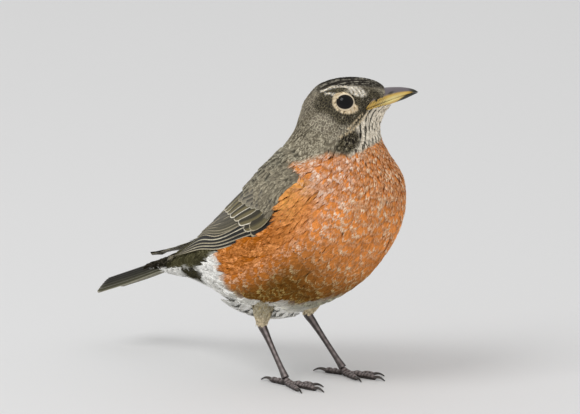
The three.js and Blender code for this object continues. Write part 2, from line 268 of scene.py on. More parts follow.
class BodyBed(Bed):
    """Head, neck and trunk: a is the section, b the angle from the back towards the left.

    A point is the middle of its section, plus half the line from belly to back times the cosine
    of the angle, plus the half width times its sine, turned about the neck by the section's share.
    """

    flow = -1.0

    def straight(self, u: Array, phi: Array) -> tuple[Array, Array]:
        """Points before the neck turns.

        Args:
            u: Sections.
            phi: Angles from the back.

        Returns:
            The points, and each one's share of the turn.
        """
        row = spline(BODY_SECTIONS, u)
        back_x, back_z, belly_x, belly_z, half, skew, share = np.moveaxis(row, -1, 0)
        cos, sin = np.cos(phi), np.sin(phi)
        x = (back_x + belly_x) / 2 + (back_x - belly_x) / 2 * cos
        z = (back_z + belly_z) / 2 + (back_z - belly_z) / 2 * cos
        return np.stack([x, half * sin * (1 + skew * cos), z], axis=-1), share

    def bare(self, a: Array, b: Array) -> Array:
        """Points of the body's outline surface."""
        points, share = self.straight(a, b)
        return turn_head(points, share)


BODY = BodyBed()


class WingBed(Bed):
    """The outer face of a folded wing: a from shoulder (0) to tip (7), b from upper to lower edge."""

    crown_power = 0.6

    def __init__(self, side: int) -> None:
        """Sets up one side's bed, with a table of the sections that its places lie at.

        Args:
            side: LEFT or RIGHT.
        """
        self.side = side
        self.outward = -float(side)
        self.tip = len(WING_SECTIONS) - 1
        self._r = np.linspace(-0.5, self.tip + 0.5, 241)
        self._u = self.place(self._r, 0.5)[0]

    def place(self, r: Array, t: Array | float) -> tuple[Array, Array, Array]:
        """Where a place on the wing lies on the body.

        Args:
            r: Places from the shoulder (0) to the tip (7).
            t: Shares from the upper to the lower edge.

        Returns:
            The sections, the angles and the heights of the outer face.
        """
        u, upper, lower, thick = np.moveaxis(spline(WING_SECTIONS, np.asarray(r, dtype=float)), -1, 0)
        share = smooth(WING_FOLD, self.tip, r)
        angle = upper + (lower - upper) * t
        height = WING_GAP + WING_TIP_GAP * share**2
        if self.side == LEFT:
            u = u - LEFT_WING_REACH * share
            angle = angle - LEFT_TIP_RISE * share
            height = WING_GAP + LEFT_TIP_LIFT * share * (1 + LEFT_TIP_BEND * (1 - share))
        crown = 0.5 + 0.5 * np.sin(np.pi * np.clip(t, 0, 1)) ** self.crown_power
        return u, np.radians(angle) * self.side, height + thick * crown

    def bare(self, a: Array, b: Array) -> Array:
        """The body's surface raised by the wing's height."""
        return BODY.point(*self.place(a, b))

    def cover(self, u: Array, phi: Array) -> tuple[Array, Array, Array]:
        """Where the wing lies over a place of the body.

        Args:
            u: Sections.
            phi: Angles from the back.

        Returns:
            The place r along the wing, the share t across it, and the height of its outer face.
        """
        r = np.interp(-u, -self._u, self._r)
        row = spline(WING_SECTIONS, r)
        rise = LEFT_TIP_RISE * smooth(WING_FOLD, self.tip, r) if self.side == LEFT else 0.0
        angle = np.degrees((phi + np.pi) % (2 * np.pi) - np.pi) * self.side
        t = (angle + rise - row[..., 1]) / (row[..., 2] - row[..., 1])
        return r, t, self.place(r, np.clip(t, 0, 1))[2]


WINGS = {side: WingBed(side) for side in (RIGHT, LEFT)}


@dataclass(frozen=True)
class TailBed(Bed):
    """The arched top of the tail: a from root (0) to tip (1), b across from -1 to 1."""

    root: Pair = (-62.0, 59.6)
    tip: Pair = (-122.0, 35.4)
    root_half: float = 6.5
    tip_half: float = 11.0
    droop: float = 5.0

    outward = -1.0

    def bare(self, a: Array, b: Array) -> Array:
        """A straight line from root to tip, wider towards the tip, its edges bent down.

        Args:
            a, b: Places along and across the tail.

        Returns:
            Their points.
        """
        a, b = np.broadcast_arrays(a, b)
        x = self.root[0] + (self.tip[0] - self.root[0]) * a
        z = self.root[1] + (self.tip[1] - self.root[1]) * a
        half = self.root_half + (self.tip_half - self.root_half) * np.clip(a, 0.02, 2) ** 0.7
        return np.stack([x, half * b, z - self.droop * b**2], axis=-1)


@dataclass(frozen=True)
class TubeBed(Bed):
    """A tapering limb: a from its top (0) to its end (1), b the angle round it."""

    top: tuple[float, float, float]
    end: tuple[float, float, float]
    radii: tuple[float, ...]

    outward = -1.0

    def bare(self, a: Array, b: Array) -> Array:
        """A circle whose radius follows the list of radii, carried along a straight line.

        Args:
            a, b: Places along and round the limb.

        Returns:
            Their points.
        """
        top, end = np.array(self.top), np.array(self.end)
        axis = unit(end - top)
        across = unit(np.cross([0.0, 1.0, 0.0], axis))
        aside = np.cross(axis, across)
        a, b = np.broadcast_arrays(a, b)
        rows = np.array(self.radii)[:, None]
        radius = spline(rows, np.clip(a, 0, 1) * (len(rows) - 1))
        around = across * np.cos(b)[..., None] + aside * np.sin(b)[..., None]
        return top + (end - top) * a[..., None] + around * radius


# --- colour


class Tint(Enum):
    """The plumage's pigments, as screen colours. Some also serve as painted shade and painted light."""

    RUST = "#e6914c"
    RUST_DEEP = "#bb6a1c"
    RUST_PALE = "#efa859"
    RUST_SOFT = "#e09551"
    RUST_BROWN = "#63400f"
    FRINGE_WHITE = "#e2d2c2"
    FRINGE_TAN = "#a38c54"
    MANTLE = "#7e7765"
    MANTLE_DARK = "#453f35"
    MANTLE_EDGE = "#a9a38f"
    NECK = "#857c69"
    NECK_EDGE = "#bdb59f"
    EAR = "#7f7667"
    CROWN = "#25211c"
    CROWN_EDGE = "#9f998a"
    FACE = "#35312a"
    FACE_EDGE = "#6c644f"
    WHITE = "#f1f0eb"
    WHITE_GREY = "#94907f"
    CREAM = "#f0dfc0"
    BUFF = "#dcc298"
    BLACK = "#231f1a"
    RUMP = "#3f3c27"
    RUMP_EDGE = "#5c5840"
    VENT_DARK = "#3c382d"
    THIGH = "#cfc09a"
    THIGH_DARK = "#8f8060"
    BELLY = "#c6c4a8"
    FLIGHT = "#59533f"
    FLIGHT_EDGE = "#e4dcc2"
    FLIGHT_DARK = "#14110c"
    TERTIAL = "#5f594c"
    COVERT = "#6f6544"
    COVERT_EDGE = "#b3a688"
    COVERT_TIP = "#eee7d6"
    LESSER = "#857d6b"
    LESSER_EDGE = "#a39b86"
    TAIL = "#1a180f"
    TAIL_PALE = "#4c4a36"


Colour = Union[Tint, str, Array]


def linear(colour: Colour) -> Array:
    """Turns a screen colour into linear light.

    Args:
        colour: A tint, a code such as #c8762f, or numbers that are linear already.

    Returns:
        Linear red, green and blue.
    """
    if isinstance(colour, np.ndarray):
        return colour
    code = colour.value if isinstance(colour, Tint) else colour
    screen = np.array([int(code[k : k + 2], 16) for k in (1, 3, 5)]) / 255
    return np.where(screen <= 0.04045, screen / 12.92, ((screen + 0.055) / 1.055) ** 2.4)


def mix(first: Colour, second: Colour, share: Array) -> Array:
    """First colour where share is 0, second where it is 1."""
    share = np.asarray(share)[..., None]
    return linear(first) * (1 - share) + linear(second) * share


def side_view(u: Array, phi: Array) -> tuple[Array, Array]:
    """Place in the head's side view as seen from a little above."""
    points, _ = BODY.straight(u, phi)
    return points[..., 0], points[..., 2] - VIEW_DROP * np.abs(points[..., 1])


def oval(x: Array, v: Array, at: Pair, radii: Pair,
         tilt: float = 0.0, soft: float = 0.3) -> Array:
    """1 inside an ellipse and 0 outside it, with a soft edge.

    Args:
        x, v: Places in the side view.
        at: The ellipse's middle.
        radii: Its half length and half height.
        tilt: Its turn in degrees, nose up.
        soft: Width of the edge as a share of the radii.

    Returns:
        The mask.
    """
    cos, sin = math.cos(math.radians(tilt)), math.sin(math.radians(tilt))
    dx, dv = x - at[0], v - at[1]
    reach = np.hypot((dx * cos + dv * sin) / radii[0], (dv * cos - dx * sin) / radii[1])
    return 1 - smooth(1 - soft, 1 + soft, reach)


def stroke(x: Array, v: Array, points: Pairs, half: float) -> Array:
    """1 along a bent line in the side view and 0 further than its half width from it.

    Args:
        x, v: Places in the side view.
        points: The line's corners.
        half: Its half width in mm.

    Returns:
        The mask.
    """
    nearest = np.full(np.shape(x), np.inf)
    for (x0, v0), (x1, v1) in zip(points, points[1:]):
        length = math.hypot(x1 - x0, v1 - v0)
        share = np.clip(((x - x0) * (x1 - x0) + (v - v0) * (v1 - v0)) / length**2, 0, 1)
        gap = np.hypot(x - x0 - share * (x1 - x0), v - v0 - share * (v1 - v0))
        nearest = np.minimum(nearest, gap)
    return 1 - smooth(half * 0.6, half * 1.4, nearest)


def inside(x: Array, v: Array, corners: Pairs) -> Array:
    """Whether places in the side view lie in a polygon: an odd number of its edges is above them.

    Args:
        x, v: Places in the side view.
        corners: The polygon.

    Returns:
        True for the places inside.
    """
    odd = np.zeros(np.shape(x), bool)
    for (x0, v0), (x1, v1) in zip(corners, [*corners[1:], corners[0]]):
        edge = v0 + (x - x0) * (v1 - v0) / (x1 - x0 if x1 != x0 else 1e-9)
        odd ^= ((x0 > x) != (x1 > x)) & (v < edge)
    return odd


def ripple(a: Array, b: Array, seed: int = 0) -> Array:
    """A smooth wave field that repeats only slowly, from five sines in random directions.

    Args:
        a, b: Places in a plane.
        seed: Number that sets the waves.

    Returns:
        Values between -1 and 1.
    """
    random = np.random.default_rng(seed)
    total = np.zeros(np.broadcast(a, b).shape)
    for _ in range(5):
        turn, size, phase = random.uniform(0, 6.28), random.uniform(0.6, 1.8), random.uniform(0, 6.28)
        total += np.sin((a * math.cos(turn) + b * math.sin(turn)) * size + phase)
    return total / 5


@dataclass
class Tones:
    """Colours of a set of feathers: the vane, its fringe, and how far the fringe reaches."""

    base: Array
    fringe: Array
    reach: Array

    def paint(self, base: Colour, fringe: Colour, reach: float, where: Array) -> None:
        """Lays other colours over these ones where the mask says."""
        self.base = mix(self.base, base, where)
        self.fringe = mix(self.fringe, fringe, where)
        self.reach = self.reach * (1 - where) + reach * where


class Markings:
    """The robin's pattern, with some painted shade and light, as a function of the place on the body. Skin
    and coat both ask it.

    The rust's edges are sections at angles from the back, and the back's edge is angles at
    sections. All that is on the head is in millimetres of its side view: the throat's edge gives
    x at heights, the crown's gives heights at x, and the ring's widths, as shares of its half
    sizes, go round the eye in degrees. A mask's numbers say where it starts and where it is full.
    """

    rust_top = ((0, 7.4), (59, 8.45), (73, 9.09), (84, 9.48), (96, 9.64), (110, 9.8),
                (121, 10.13), (132, 10.5), (148, 10.87), (180, 11.2))
    rust_end = ((60, 4.6), (79, 4.75), (94, 4.8), (110, 4.92), (123, 5.1), (133, 5.4),
                (139, 5.7), (144, 5.95), (154, 6.15), (161, 6.35), (170, 6.5), (180, 6.6))
    back_edge = ((3, 100), (3.57, 101), (4.22, 89), (4.75, 72), (6.6, 70), (7.5, 62),
                 (8.3, 55), (9.1, 66))
    throat_edge = ((119, 35.5), (124, 36.5), (128, 35), (132, 32.8), (136, 35.5),
                   (140, 38.5), (143, 41), (146, 45))
    crown_edge = ((4, 146.5), (12, 150.5), (20, 153.4), (30, 154), (40, 153), (48, 152.4))
    face_parts = (((25, 139), (10, 5.2), -22), ((34, 139), (6.5, 5.5)), ((17, 144.6), (5.5, 4.8), 20),
                  ((38, 147.5), (9, 5.2)), ((22, 151.6), (8, 2.4), 12))
    jaw_lines = (((38.7, 140), (36.5, 136.5), (33, 132.7), (30.5, 129.8), (26.5, 127)),
                 ((36, 139), (33, 135.8), (29.5, 131.5)))
    brow_lines = (((15.4, 150.9), (21, 153), (26, 153.5), (30, 152.6)), ((17.5, 149.8), (22, 149.2)))
    ring_half = (4.1, 3.6)
    ring_widths = ((0, 0.15), (20, 0.15), (50, 0.22), (90, 0.42), (135, 0.62), (180, 0.5), (225, 0.45),
                   (270, 0.58), (300, 0.8), (325, 1.0), (340, 0.7), (350, 0.2), (360, 0.15))

    def at(self, u: Array, phi: Array) -> Tones:
        """Colours at places on the body.

        Args:
            u: Sections.
            phi: Angles from the back.

        Returns:
            The tones there.
        """
        side = np.degrees(np.abs((phi + math.pi) % (2 * math.pi) - math.pi))
        x, v = side_view(u, phi)
        none = np.zeros(u.shape)
        base, fringe = (mix(tint, tint, none) for tint in (Tint.NECK, Tint.NECK_EDGE))
        tones = Tones(base, fringe, none + 0.3)
        self._paint_trunk(tones, u, side)
        self._paint_head(tones, u, side, x, v)
        return tones

    def _paint_trunk(self, tones: Tones, u: Array, side: Array) -> None:
        """Paints back, rump and tail's root, then the white and the rust below them.

        Args:
            tones: The tones to paint over.
            u: Sections.
            side: Angles from the back, alike on both sides.
        """
        wave = ripple(u * 3, side / 9, 3)
        jitter = 0.1 * wave
        top = along_table(side, self.rust_top) + jitter
        end = along_table(side, self.rust_end) + jitter
        back = along_table(u, self.back_edge) + 3 * wave
        tones.paint(Tint.MANTLE, Tint.MANTLE_EDGE, 0.3, smooth(9.0, 8.2, u))
        tones.paint(Tint.RUMP, Tint.RUMP_EDGE, 0.5, smooth(5.2, 4.4, u))
        tones.paint(Tint.TAIL, Tint.MANTLE_DARK, 0.4, smooth(2.6, 1.9, u + 0.15 * wave))
        below = smooth(-4, 4, side - back)
        self._paint_vent(tones, u, side, below * smooth(0.16, -0.16, u - end))
        rust = smooth(-0.16, 0.16, u - end) * smooth(0.14, -0.14, u - top) * below
        self._paint_rust(tones, u, side, rust)

    @staticmethod
    def _paint_vent(tones: Tones, u: Array, side: Array, pale: Array) -> None:
        """Paints the white belly and vent, with ashy streaks and a dark patch by the tail's root.

        The belly by the thighs is painted greyer: painted shade.

        Args:
            tones: The tones to paint over.
            u: Sections.
            side: Angles from the back, alike on both sides.
            pale: Where the white is.
        """
        tones.paint(Tint.WHITE, Tint.WHITE, 0.5, pale)
        # Greyer and greener on the belly by the thighs: painted shade under the breast.
        tones.paint(Tint.WHITE_GREY, Tint.BELLY, 0.4, pale * smooth(5.4, 6.2, u))
        streak = np.sin(side * 0.9 + 2 * ripple(u * 3, side / 9, 3)) * 0.5 + 0.5
        ashy = pale * smooth(3.9, 4.5, u) * smooth(0.2, 0.7, streak) * between((102, 112, 130, 150), side)
        tones.paint(Tint.WHITE_GREY, Tint.WHITE, 0.4, 0.51 * ashy)
        patch = between((2.85, 3.1, 3.85, 4.1), u) * between((98, 103, 128, 138), side)
        tones.paint(Tint.VENT_DARK, Tint.RUMP, 0.2, patch)

    @staticmethod
    def _paint_rust(tones: Tones, u: Array, side: Array, rust: Array) -> None:
        """Paints breast and flanks: deeper behind, brown and scaly below, paler by the shoulder.

        The brown below is partly painted shade, and the pale by the shoulder partly painted light.

        Args:
            tones: The tones to paint over.
            u: Sections.
            side: Angles from the back, alike on both sides.
            rust: Where the rust is.
        """
        deep = smooth(7.9, 6.2, u) * smooth(128, 95, side)
        # Darker brown low on the belly: partly its own duller rust, partly painted shade on the underside.
        low = smooth(100, 128, side) * smooth(7.9, 6.3, u)
        # Paler by the shoulder: partly its own paler rust, partly painted light where the flank faces up.
        bright = between((6.9, 7.5, 8.2, 8.7), u) * smooth(100, 82, side)
        red = mix(Tint.RUST, Tint.RUST_DEEP, deep)
        red = mix(red, Tint.RUST_BROWN, 0.95 * low)
        red = mix(red, Tint.RUST_PALE, bright)
        edge = mix(Tint.FRINGE_WHITE, Tint.BUFF, 0.6 * smooth(108, 135, side))
        edge = mix(edge, Tint.FRINGE_TAN, low)
        edge = mix(edge, Tint.RUST_SOFT, smooth(118, 98, side) * smooth(8.6, 7.9, u) * 0.95)
        scaly = 0.1 + 0.28 * smooth(94, 114, side)
        scaly = scaly - 0.12 * smooth(7.9, 8.6, u) - 0.14 * smooth(9.4, 10.1, u)
        scaly = np.maximum(scaly, 0.05) * (0.95 + 0.7 * ripple(u * 5, side / 5, 21))
        tones.base = mix(tones.base, red, rust)
        tones.fringe = mix(tones.fringe, edge, rust)
        tones.reach = tones.reach * (1 - rust) + scaly * rust

    def _paint_head(self, tones: Tones, u: Array, side: Array, x: Array, v: Array) -> None:
        """Paints the head's parts over each other: nape, face, crown, throat and pale lines.

        Args:
            tones: The tones to paint over.
            u: Sections.
            side: Angles from the back, alike on both sides.
            x, v: Places in the side view.
        """
        head = smooth(9.9, 10.3, u) * smooth(-0.06, 0.06, u - along_table(side, self.rust_top))
        tones.paint(Tint.EAR, Tint.NECK_EDGE, 0.4, head)
        nape = smooth(8.6, 9.4, u) * smooth(80, 35, side)
        nape = nape * smooth(-1.2, 0.6, ripple(u * 1.5, side / 14, 17))
        tones.paint(Tint.MANTLE_DARK, Tint.NECK, 0.3, 0.7 * nape)
        self._paint_face(tones, x, v, head)
        self._paint_crown(tones, u, side, x, v)
        self._paint_throat(tones, u, side, x, v)
        patch = oval(x, v, (31.8, 124.8), (4.6, 6.0)) * smooth(-0.75, -0.15, ripple(x * 2.4, v * 2.4, 7))
        tones.paint(Tint.BLACK, Tint.FACE_EDGE, 0.2, patch * smooth(9.6, 9.8, u))
        self._paint_lines(tones, x, v)

    def _paint_face(self, tones: Tones, x: Array, v: Array, head: Array) -> None:
        """Paints the dark face and the ear coverts with their dark rim.

        Args:
            tones: The tones to paint over.
            x, v: Places in the side view.
            head: Where the head is.
        """
        face = sum(oval(x, v, *dark) for dark in self.face_parts)
        face = face * smooth(-0.9, -0.3, ripple(x * 2.2, v * 2.2, 13))
        tones.paint(Tint.FACE, Tint.FACE_EDGE, 0.3, head * np.clip(face, 0, 1))
        ear = oval(x, v, (16.5, 133.6), (6.4, 5.4), -15)
        tones.paint(Tint.EAR, Tint.NECK_EDGE, 0.4, head * ear)
        rim = oval(x, v, (16.5, 133.6), (8.2, 7.2), -15) * (1 - oval(x, v, (17, 134.6), (6.8, 6), -15))
        tones.paint(Tint.FACE_EDGE, Tint.NECK, 0.3, head * rim * 0.7)

    def _paint_crown(self, tones: Tones, u: Array, side: Array, x: Array, v: Array) -> None:
        """Paints the black crown, with pale lines that run from the bill over it.

        Args:
            tones: The tones to paint over.
            u: Sections.
            side: Angles from the back, alike on both sides.
            x, v: Places in the side view.
        """
        crown = smooth(-0.7, 0.7, v - along_table(x, self.crown_edge)) * smooth(10.6, 11.3, u)
        crown = crown * (0.4 + 0.6 * smooth(9, 17, x))
        lines = np.sin(60 * (1 - np.cos(np.radians(side))) + 2.6 * ripple(u * 2.6, side / 9, 5))
        streak = smooth(0.1, 0.8, lines) * smooth(-0.4, 0.4, ripple(u * 16, side / 3, 6))
        top = mix(Tint.CROWN, Tint.CROWN_EDGE, streak)
        tones.paint(top, mix(top, Tint.CROWN_EDGE, 0.12 + 0 * u), 0.15, crown)

    def _paint_lines(self, tones: Tones, x: Array, v: Array) -> None:
        """Paints the pale lines along the jaw and over the eye, the brow and the eye ring.

        Args:
            tones: The tones to paint over.
            x, v: Places in the side view.
        """
        broken = smooth(-0.3, 0.2, ripple(x * 4, v * 4, 15))
        for line in self.jaw_lines:
            tones.paint(Tint.BUFF, Tint.CREAM, 0.5, broken * stroke(x, v, line, 0.5))
        broken = smooth(-0.5, 0.1, ripple(x * 3, v * 5, 16))
        for line in self.brow_lines:
            tones.paint(Tint.WHITE, Tint.CREAM, 0.6, broken * stroke(x, v, line, 0.55))
        brow = oval(x, v, (33.6, 150.7), (4.9, 2.3), -22, 0.25)
        hatch = np.sin((x * 0.85 + v * 0.55) * 3.6 + 1.6 * ripple(x * 1.5, v * 1.5, 12)) * 0.5 + 0.5
        tones.paint(Tint.CREAM, Tint.WHITE, 0.5, brow * smooth(0.02, 0.3, hatch))
        tones.paint(Tint.CREAM, Tint.BUFF, 0.4, self._eye_ring(x, v))

    def _paint_throat(self, tones: Tones, u: Array, side: Array, x: Array, v: Array) -> None:
        """Paints the white throat, with dark streaks that run with the feathers.

        Args:
            tones: The tones to paint over.
            u: Sections.
            side: Angles from the back, alike on both sides.
            x, v: Places in the side view.
        """
        top = along_table(side, self.rust_top)
        throat = smooth(-0.5, 0.6, x - along_table(v, self.throat_edge)) * smooth(95, 100, side)
        throat = throat * smooth(-0.04, 0.08, u - top)
        throat = throat * smooth(147.5, 146, v)
        pale = mix(Tint.WHITE, Tint.CREAM, 0.6 + 0 * u)
        tones.paint(pale, pale, 0.4, throat)
        bands = np.sin(np.radians(side) * 44 + 2.6 * ripple(u * 2.4, side / 10, 8))
        dark = smooth(0.15, 0.6, bands + 0.9 * ripple(u * 6, side / 4, 9) - 0.5 * smooth(118, 150, side))
        dark = dark * smooth(17.6, 16.2, u)
        tones.paint(Tint.BLACK, Tint.WHITE_GREY, 0.25, throat * dark)

    def _eye_ring(self, x: Array, v: Array) -> Array:
        """The pale broken ring round the eye: thick behind and below, gone in front."""
        dx, dv = (x - EYE_PLACE[0]) / self.ring_half[0], (v - EYE_PLACE[1]) / self.ring_half[1]
        thick = along_table(np.degrees(np.arctan2(dv, dx)) % 360, self.ring_widths)
        return smooth(0.12, -0.06, np.hypot(dx, dv) - 1 - thick)


MARKINGS = Markings()


# --- meshes


@dataclass
class Shape:
    """A mesh in the making: points, triangles, which of them are flat, and a value for each point."""

    points: Array
    faces: Array
    flat: Array
    layers: dict[str, Array] = field(default_factory=dict)
    normals: Array | None = None  # one for each corner of each triangle, or none to leave them alone

    @staticmethod
    def joined(shapes: Sequence["Shape"]) -> "Shape":
        """Several shapes with the same layers as one.

        Args:
            shapes: The shapes.

        Returns:
            One shape with all their points, faces and values.
        """
        starts = np.cumsum([0] + [len(shape.points) for shape in shapes[:-1]])
        return Shape(
            np.concatenate([shape.points for shape in shapes]),
            np.concatenate([shape.faces + start for shape, start in zip(shapes, starts)]),
            np.concatenate([shape.flat for shape in shapes]),
            {key: np.concatenate([shape.layers[key] for shape in shapes]) for key in shapes[0].layers},
            None if shapes[0].normals is None else np.concatenate([shape.normals for shape in shapes]),
        )


def make_piece(name: str, shape: Shape, finish: Finish, slot: str,
               replaces: Sequence[str] = ()) -> bpy.types.Object:
    """Makes a Blender object of a shape and sets it in the frame.

    Args:
        name: The piece's name.
        shape: Its mesh, in the bird's millimetres. A layer with 2 columns becomes a UV map, one
            with 3 a colour, and one with none a number.
        finish: Its finish.
        slot: The record's material slot; not used.
        replaces: Solids that it stands for.

    Returns:
        The object.
    """
    mesh = bpy.data.meshes.new(name)
    count, faces = len(shape.points), shape.faces.astype(np.int32)
    mesh.vertices.add(count)
    mesh.vertices.foreach_set("co", ((shape.points + SHIFT) * MM).astype(np.float32).ravel())
    mesh.loops.add(faces.size)
    mesh.loops.foreach_set("vertex_index", faces.ravel())
    mesh.polygons.add(len(faces))
    mesh.polygons.foreach_set("loop_start", np.arange(0, faces.size, 3, dtype=np.int32))
    for key, values in shape.layers.items():
        if values.ndim == 1:
            layer = mesh.attributes.new(key, "FLOAT", "POINT")
            layer.data.foreach_set("value", values.astype(np.float32))
        elif values.shape[1] == 2:
            corners = values[faces].astype(np.float32)
            mesh.uv_layers.new(name=key).data.foreach_set("uv", corners.ravel())
        else:
            layer = mesh.attributes.new(key, "FLOAT_COLOR", "POINT")
            rgba = np.concatenate([values, np.ones((count, 1))], axis=1)
            layer.data.foreach_set("color", rgba.astype(np.float32).ravel())
    mesh.update(calc_edges=True)
    mesh.polygons.foreach_set("use_smooth", ~shape.flat)
    if shape.normals is not None:
        layer = mesh.attributes.new("custom_normal", "FLOAT_VECTOR", "CORNER")
        layer.data.foreach_set("vector", shape.normals.astype(np.float32).ravel())
    mesh.materials.append(finish.material())
    piece = bpy.data.objects.new(name, mesh)
    bpy.context.scene.collection.objects.link(piece)
    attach(piece, "root")
    if replaces:
        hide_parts(*replaces)
    LOG.info("%s: %d triangles", name, len(faces))
    return piece


def crossed(first: Array, second: Array) -> list[Array]:
    """Two rows of values as a grid of pairs."""
    return np.meshgrid(first, second, indexing="ij")


def round_circle(count: int) -> Array:
    """Angles once round a circle."""
    return np.linspace(0, 2 * np.pi, count, endpoint=False)


def grid_faces(rows: int, columns: int, closed: bool) -> Array:
    """Triangles over a grid of points, row after row.

    Args:
        rows, columns: Size of the grid.
        closed: Whether its last column is joined to its first.

    Returns:
        The corners of each triangle.
    """
    i, j = crossed(np.arange(rows - 1), np.arange(columns if closed else columns - 1))
    here, beside = i * columns + j, i * columns + (j + 1) % columns
    return np.concatenate([
        np.stack([here, here + columns, beside + columns], axis=-1).reshape(-1, 3),
        np.stack([here, beside + columns, beside], axis=-1).reshape(-1, 3),
    ])


def tube(rings: Array) -> Shape:
    """A closed tube with a fan at each end, through rings whose corners go clockwise seen from behind.

    Args:
        rings: Points as rings, corners and coordinates.

    Returns:
        The shape, without layers.
    """
    count, sides = rings.shape[:2]
    points = np.concatenate([rings.reshape(-1, 3), rings[[0, -1]].mean(axis=1)])
    here = np.arange(sides)
    beside = (here + 1) % sides
    last = (count - 1) * sides
    first_fan = np.stack([here, beside, np.full(sides, count * sides)], axis=-1)
    last_fan = np.stack([last + beside, last + here, np.full(sides, count * sides + 1)], axis=-1)
    faces = np.concatenate([grid_faces(count, sides, True), first_fan, last_fan])
    return Shape(points, faces, np.zeros(len(faces), bool))


def painted_tube(rings: Array, colour: Array) -> Shape:
    """A closed tube with a colour for each corner of its rings.

    Args:
        rings: Points as rings, corners and coordinates.
        colour: Colours, spread over the rings.

    Returns:
        The shape, with its tone.
    """
    shape = tube(rings)
    flat = (np.ones(rings.shape) * colour).reshape(-1, 3)
    shape.layers["Tone"] = np.concatenate([flat, flat[[0, -1]]])
    return shape


def carried(path: Array, radii: Array, sides: int, squash: Array | float = 1.0,
            upright: Sequence[float] = (0.0, 1.0, 0.0)) -> Array:
    """Rings round a path: each is an ellipse across the path's direction.

    Args:
        path: The middle of each ring.
        radii: The radius of each ring.
        sides: Corners of a ring.
        squash: The second half axis as a share of the first.
        upright: A direction that the rings' second axis leans towards.

    Returns:
        Points as rings, corners and coordinates.
    """
    along = unit(np.gradient(path, axis=0))
    first = unit(np.cross(upright, along))
    second = np.cross(first, along)
    turn = round_circle(sides)[None, :, None]
    size = np.asarray(radii)[:, None, None]
    flatter = size * np.broadcast_to(np.asarray(squash), (len(path),))[:, None, None]
    ring = first[:, None] * np.cos(turn) * size + second[:, None] * np.sin(turn) * flatter
    return path[:, None] + ring


# --- feathers


@dataclass
class Lines:
    """Middle lines of many feathers on a bed: one row for each feather, one column for each step.

    head and side hold the change of a and b for one millimetre along and across the feather.
    """

    bed: Bed
    a: Array
    b: Array
    head: Array
    side: Array
    run: Array

    def kept(self, keep: Array) -> "Lines":
        """Some of the lines."""
        return Lines(self.bed, self.a[keep], self.b[keep], self.head[keep], self.side[keep], self.run[keep])

    @staticmethod
    def marched(bed: Bed, a: Array, b: Array, turn: Array, length: Array, rows: int) -> "Lines":
        """Lines that start at roots and go with the bed's lie, a step at a time.

        Args:
            bed: The surface.
            a, b: The roots.
            turn: Each line's turn off the lie, in radians.
            length: Each line's length in mm.
            rows: Places on a line.

        Returns:
            The lines.
        """
        step = length / (rows - 1)
        kept = []
        for _ in range(rows):
            along, across, normal, lie = bed.directions(a, b)
            cos, sin = np.cos(turn)[:, None], np.sin(turn)[:, None]
            heading = lie * cos + np.cross(normal, lie) * sin
            head = np.stack(in_parameters(along, across, heading), axis=-1)
            side = np.stack(in_parameters(along, across, np.cross(normal, heading)), axis=-1)
            kept.append((a, b, head, side))
            a, b = a + head[:, 0] * step, b + head[:, 1] * step
        a, b, head, side = (np.stack(values, axis=1) for values in zip(*kept))
        return Lines(bed, a, b, head, side, step[:, None] * np.arange(rows))

    @staticmethod
    def through(bed: Bed, controls: Array, rows: int) -> "Lines":
        """Lines that pass through chosen places on a smooth curve.

        Args:
            bed: The surface.
            controls: Those places, by feather, place and (a, b).
            rows: Places on a line.

        Returns:
            The lines.
        """
        count, knots = controls.shape[:2]
        flat = controls.transpose(1, 0, 2).reshape(knots, -1)
        places = spline(flat, np.linspace(0, knots - 1, rows)).reshape(rows, count, 2)
        a, b = places[..., 0].T, places[..., 1].T
        points = bed.bare(a, b)
        steps = np.linalg.norm(np.diff(points, axis=1), axis=-1)
        run = np.concatenate([np.zeros((count, 1)), np.cumsum(steps, axis=1)], axis=1)
        along, across, normal, _ = bed.directions(a, b)
        heading = in_plane(unit(np.gradient(points, axis=1)), normal)
        head = np.stack(in_parameters(along, across, heading), axis=-1)
        side = np.stack(in_parameters(along, across, np.cross(normal, heading)), axis=-1)
        return Lines(bed, a, b, head, side, run)


@dataclass(frozen=True)
class VaneForm:
    """The outline of one kind of feather. Shares are of its half width unless said otherwise."""

    rows: int = 7
    columns: int = 13
    neck: float = 0.4  # width at the root
    shoulder: float = 0.55  # share of the length where it is full width
    blunt: float = 0.8  # how far the tip's corners fall back
    taper: float = 0.0  # width lost towards the tip
    taper_from: float = 0.55  # share of the length where it starts to be lost
    teeth: float = 0.7  # depth of the frayed tip in mm
    camber: float = 0.45  # how much lower its edges lie, in mm
    outer_camber: float = 0.0  # the same for the edge of a narrower outer web
    outer_web: float = 1.0  # width of the web on the outer side
    inner_rim: float = 1.0  # how much further off the inner edge seems, to keep a fringe off it
    ridge: float = 0.0  # height of the shaft in mm
    shaft: float = 0.1  # half width of the shaft
    spread: float = 0.06  # how unevenly the barbs lie side by side
    blend: float = 0.55  # how far its shading follows the bed and not its own tilt


TIP_ROUND = 0.97  # just under 1, where the tip's corners would fall straight back
MAP_SCALE = 40.0  # millimetres of a feather to one unit of its map
PATCH = 0.003  # size of a feather's patch on the baking map
POOL = 20000  # places to draw roots from
TRIES = 6  # draws for each root that would fit
JITTER = 0.02  # how far a root may lie from its place in the pool, in the bed's parameters
UNLIKE = (0.85, 1.15)  # sizes of feathers as shares of their tract's size


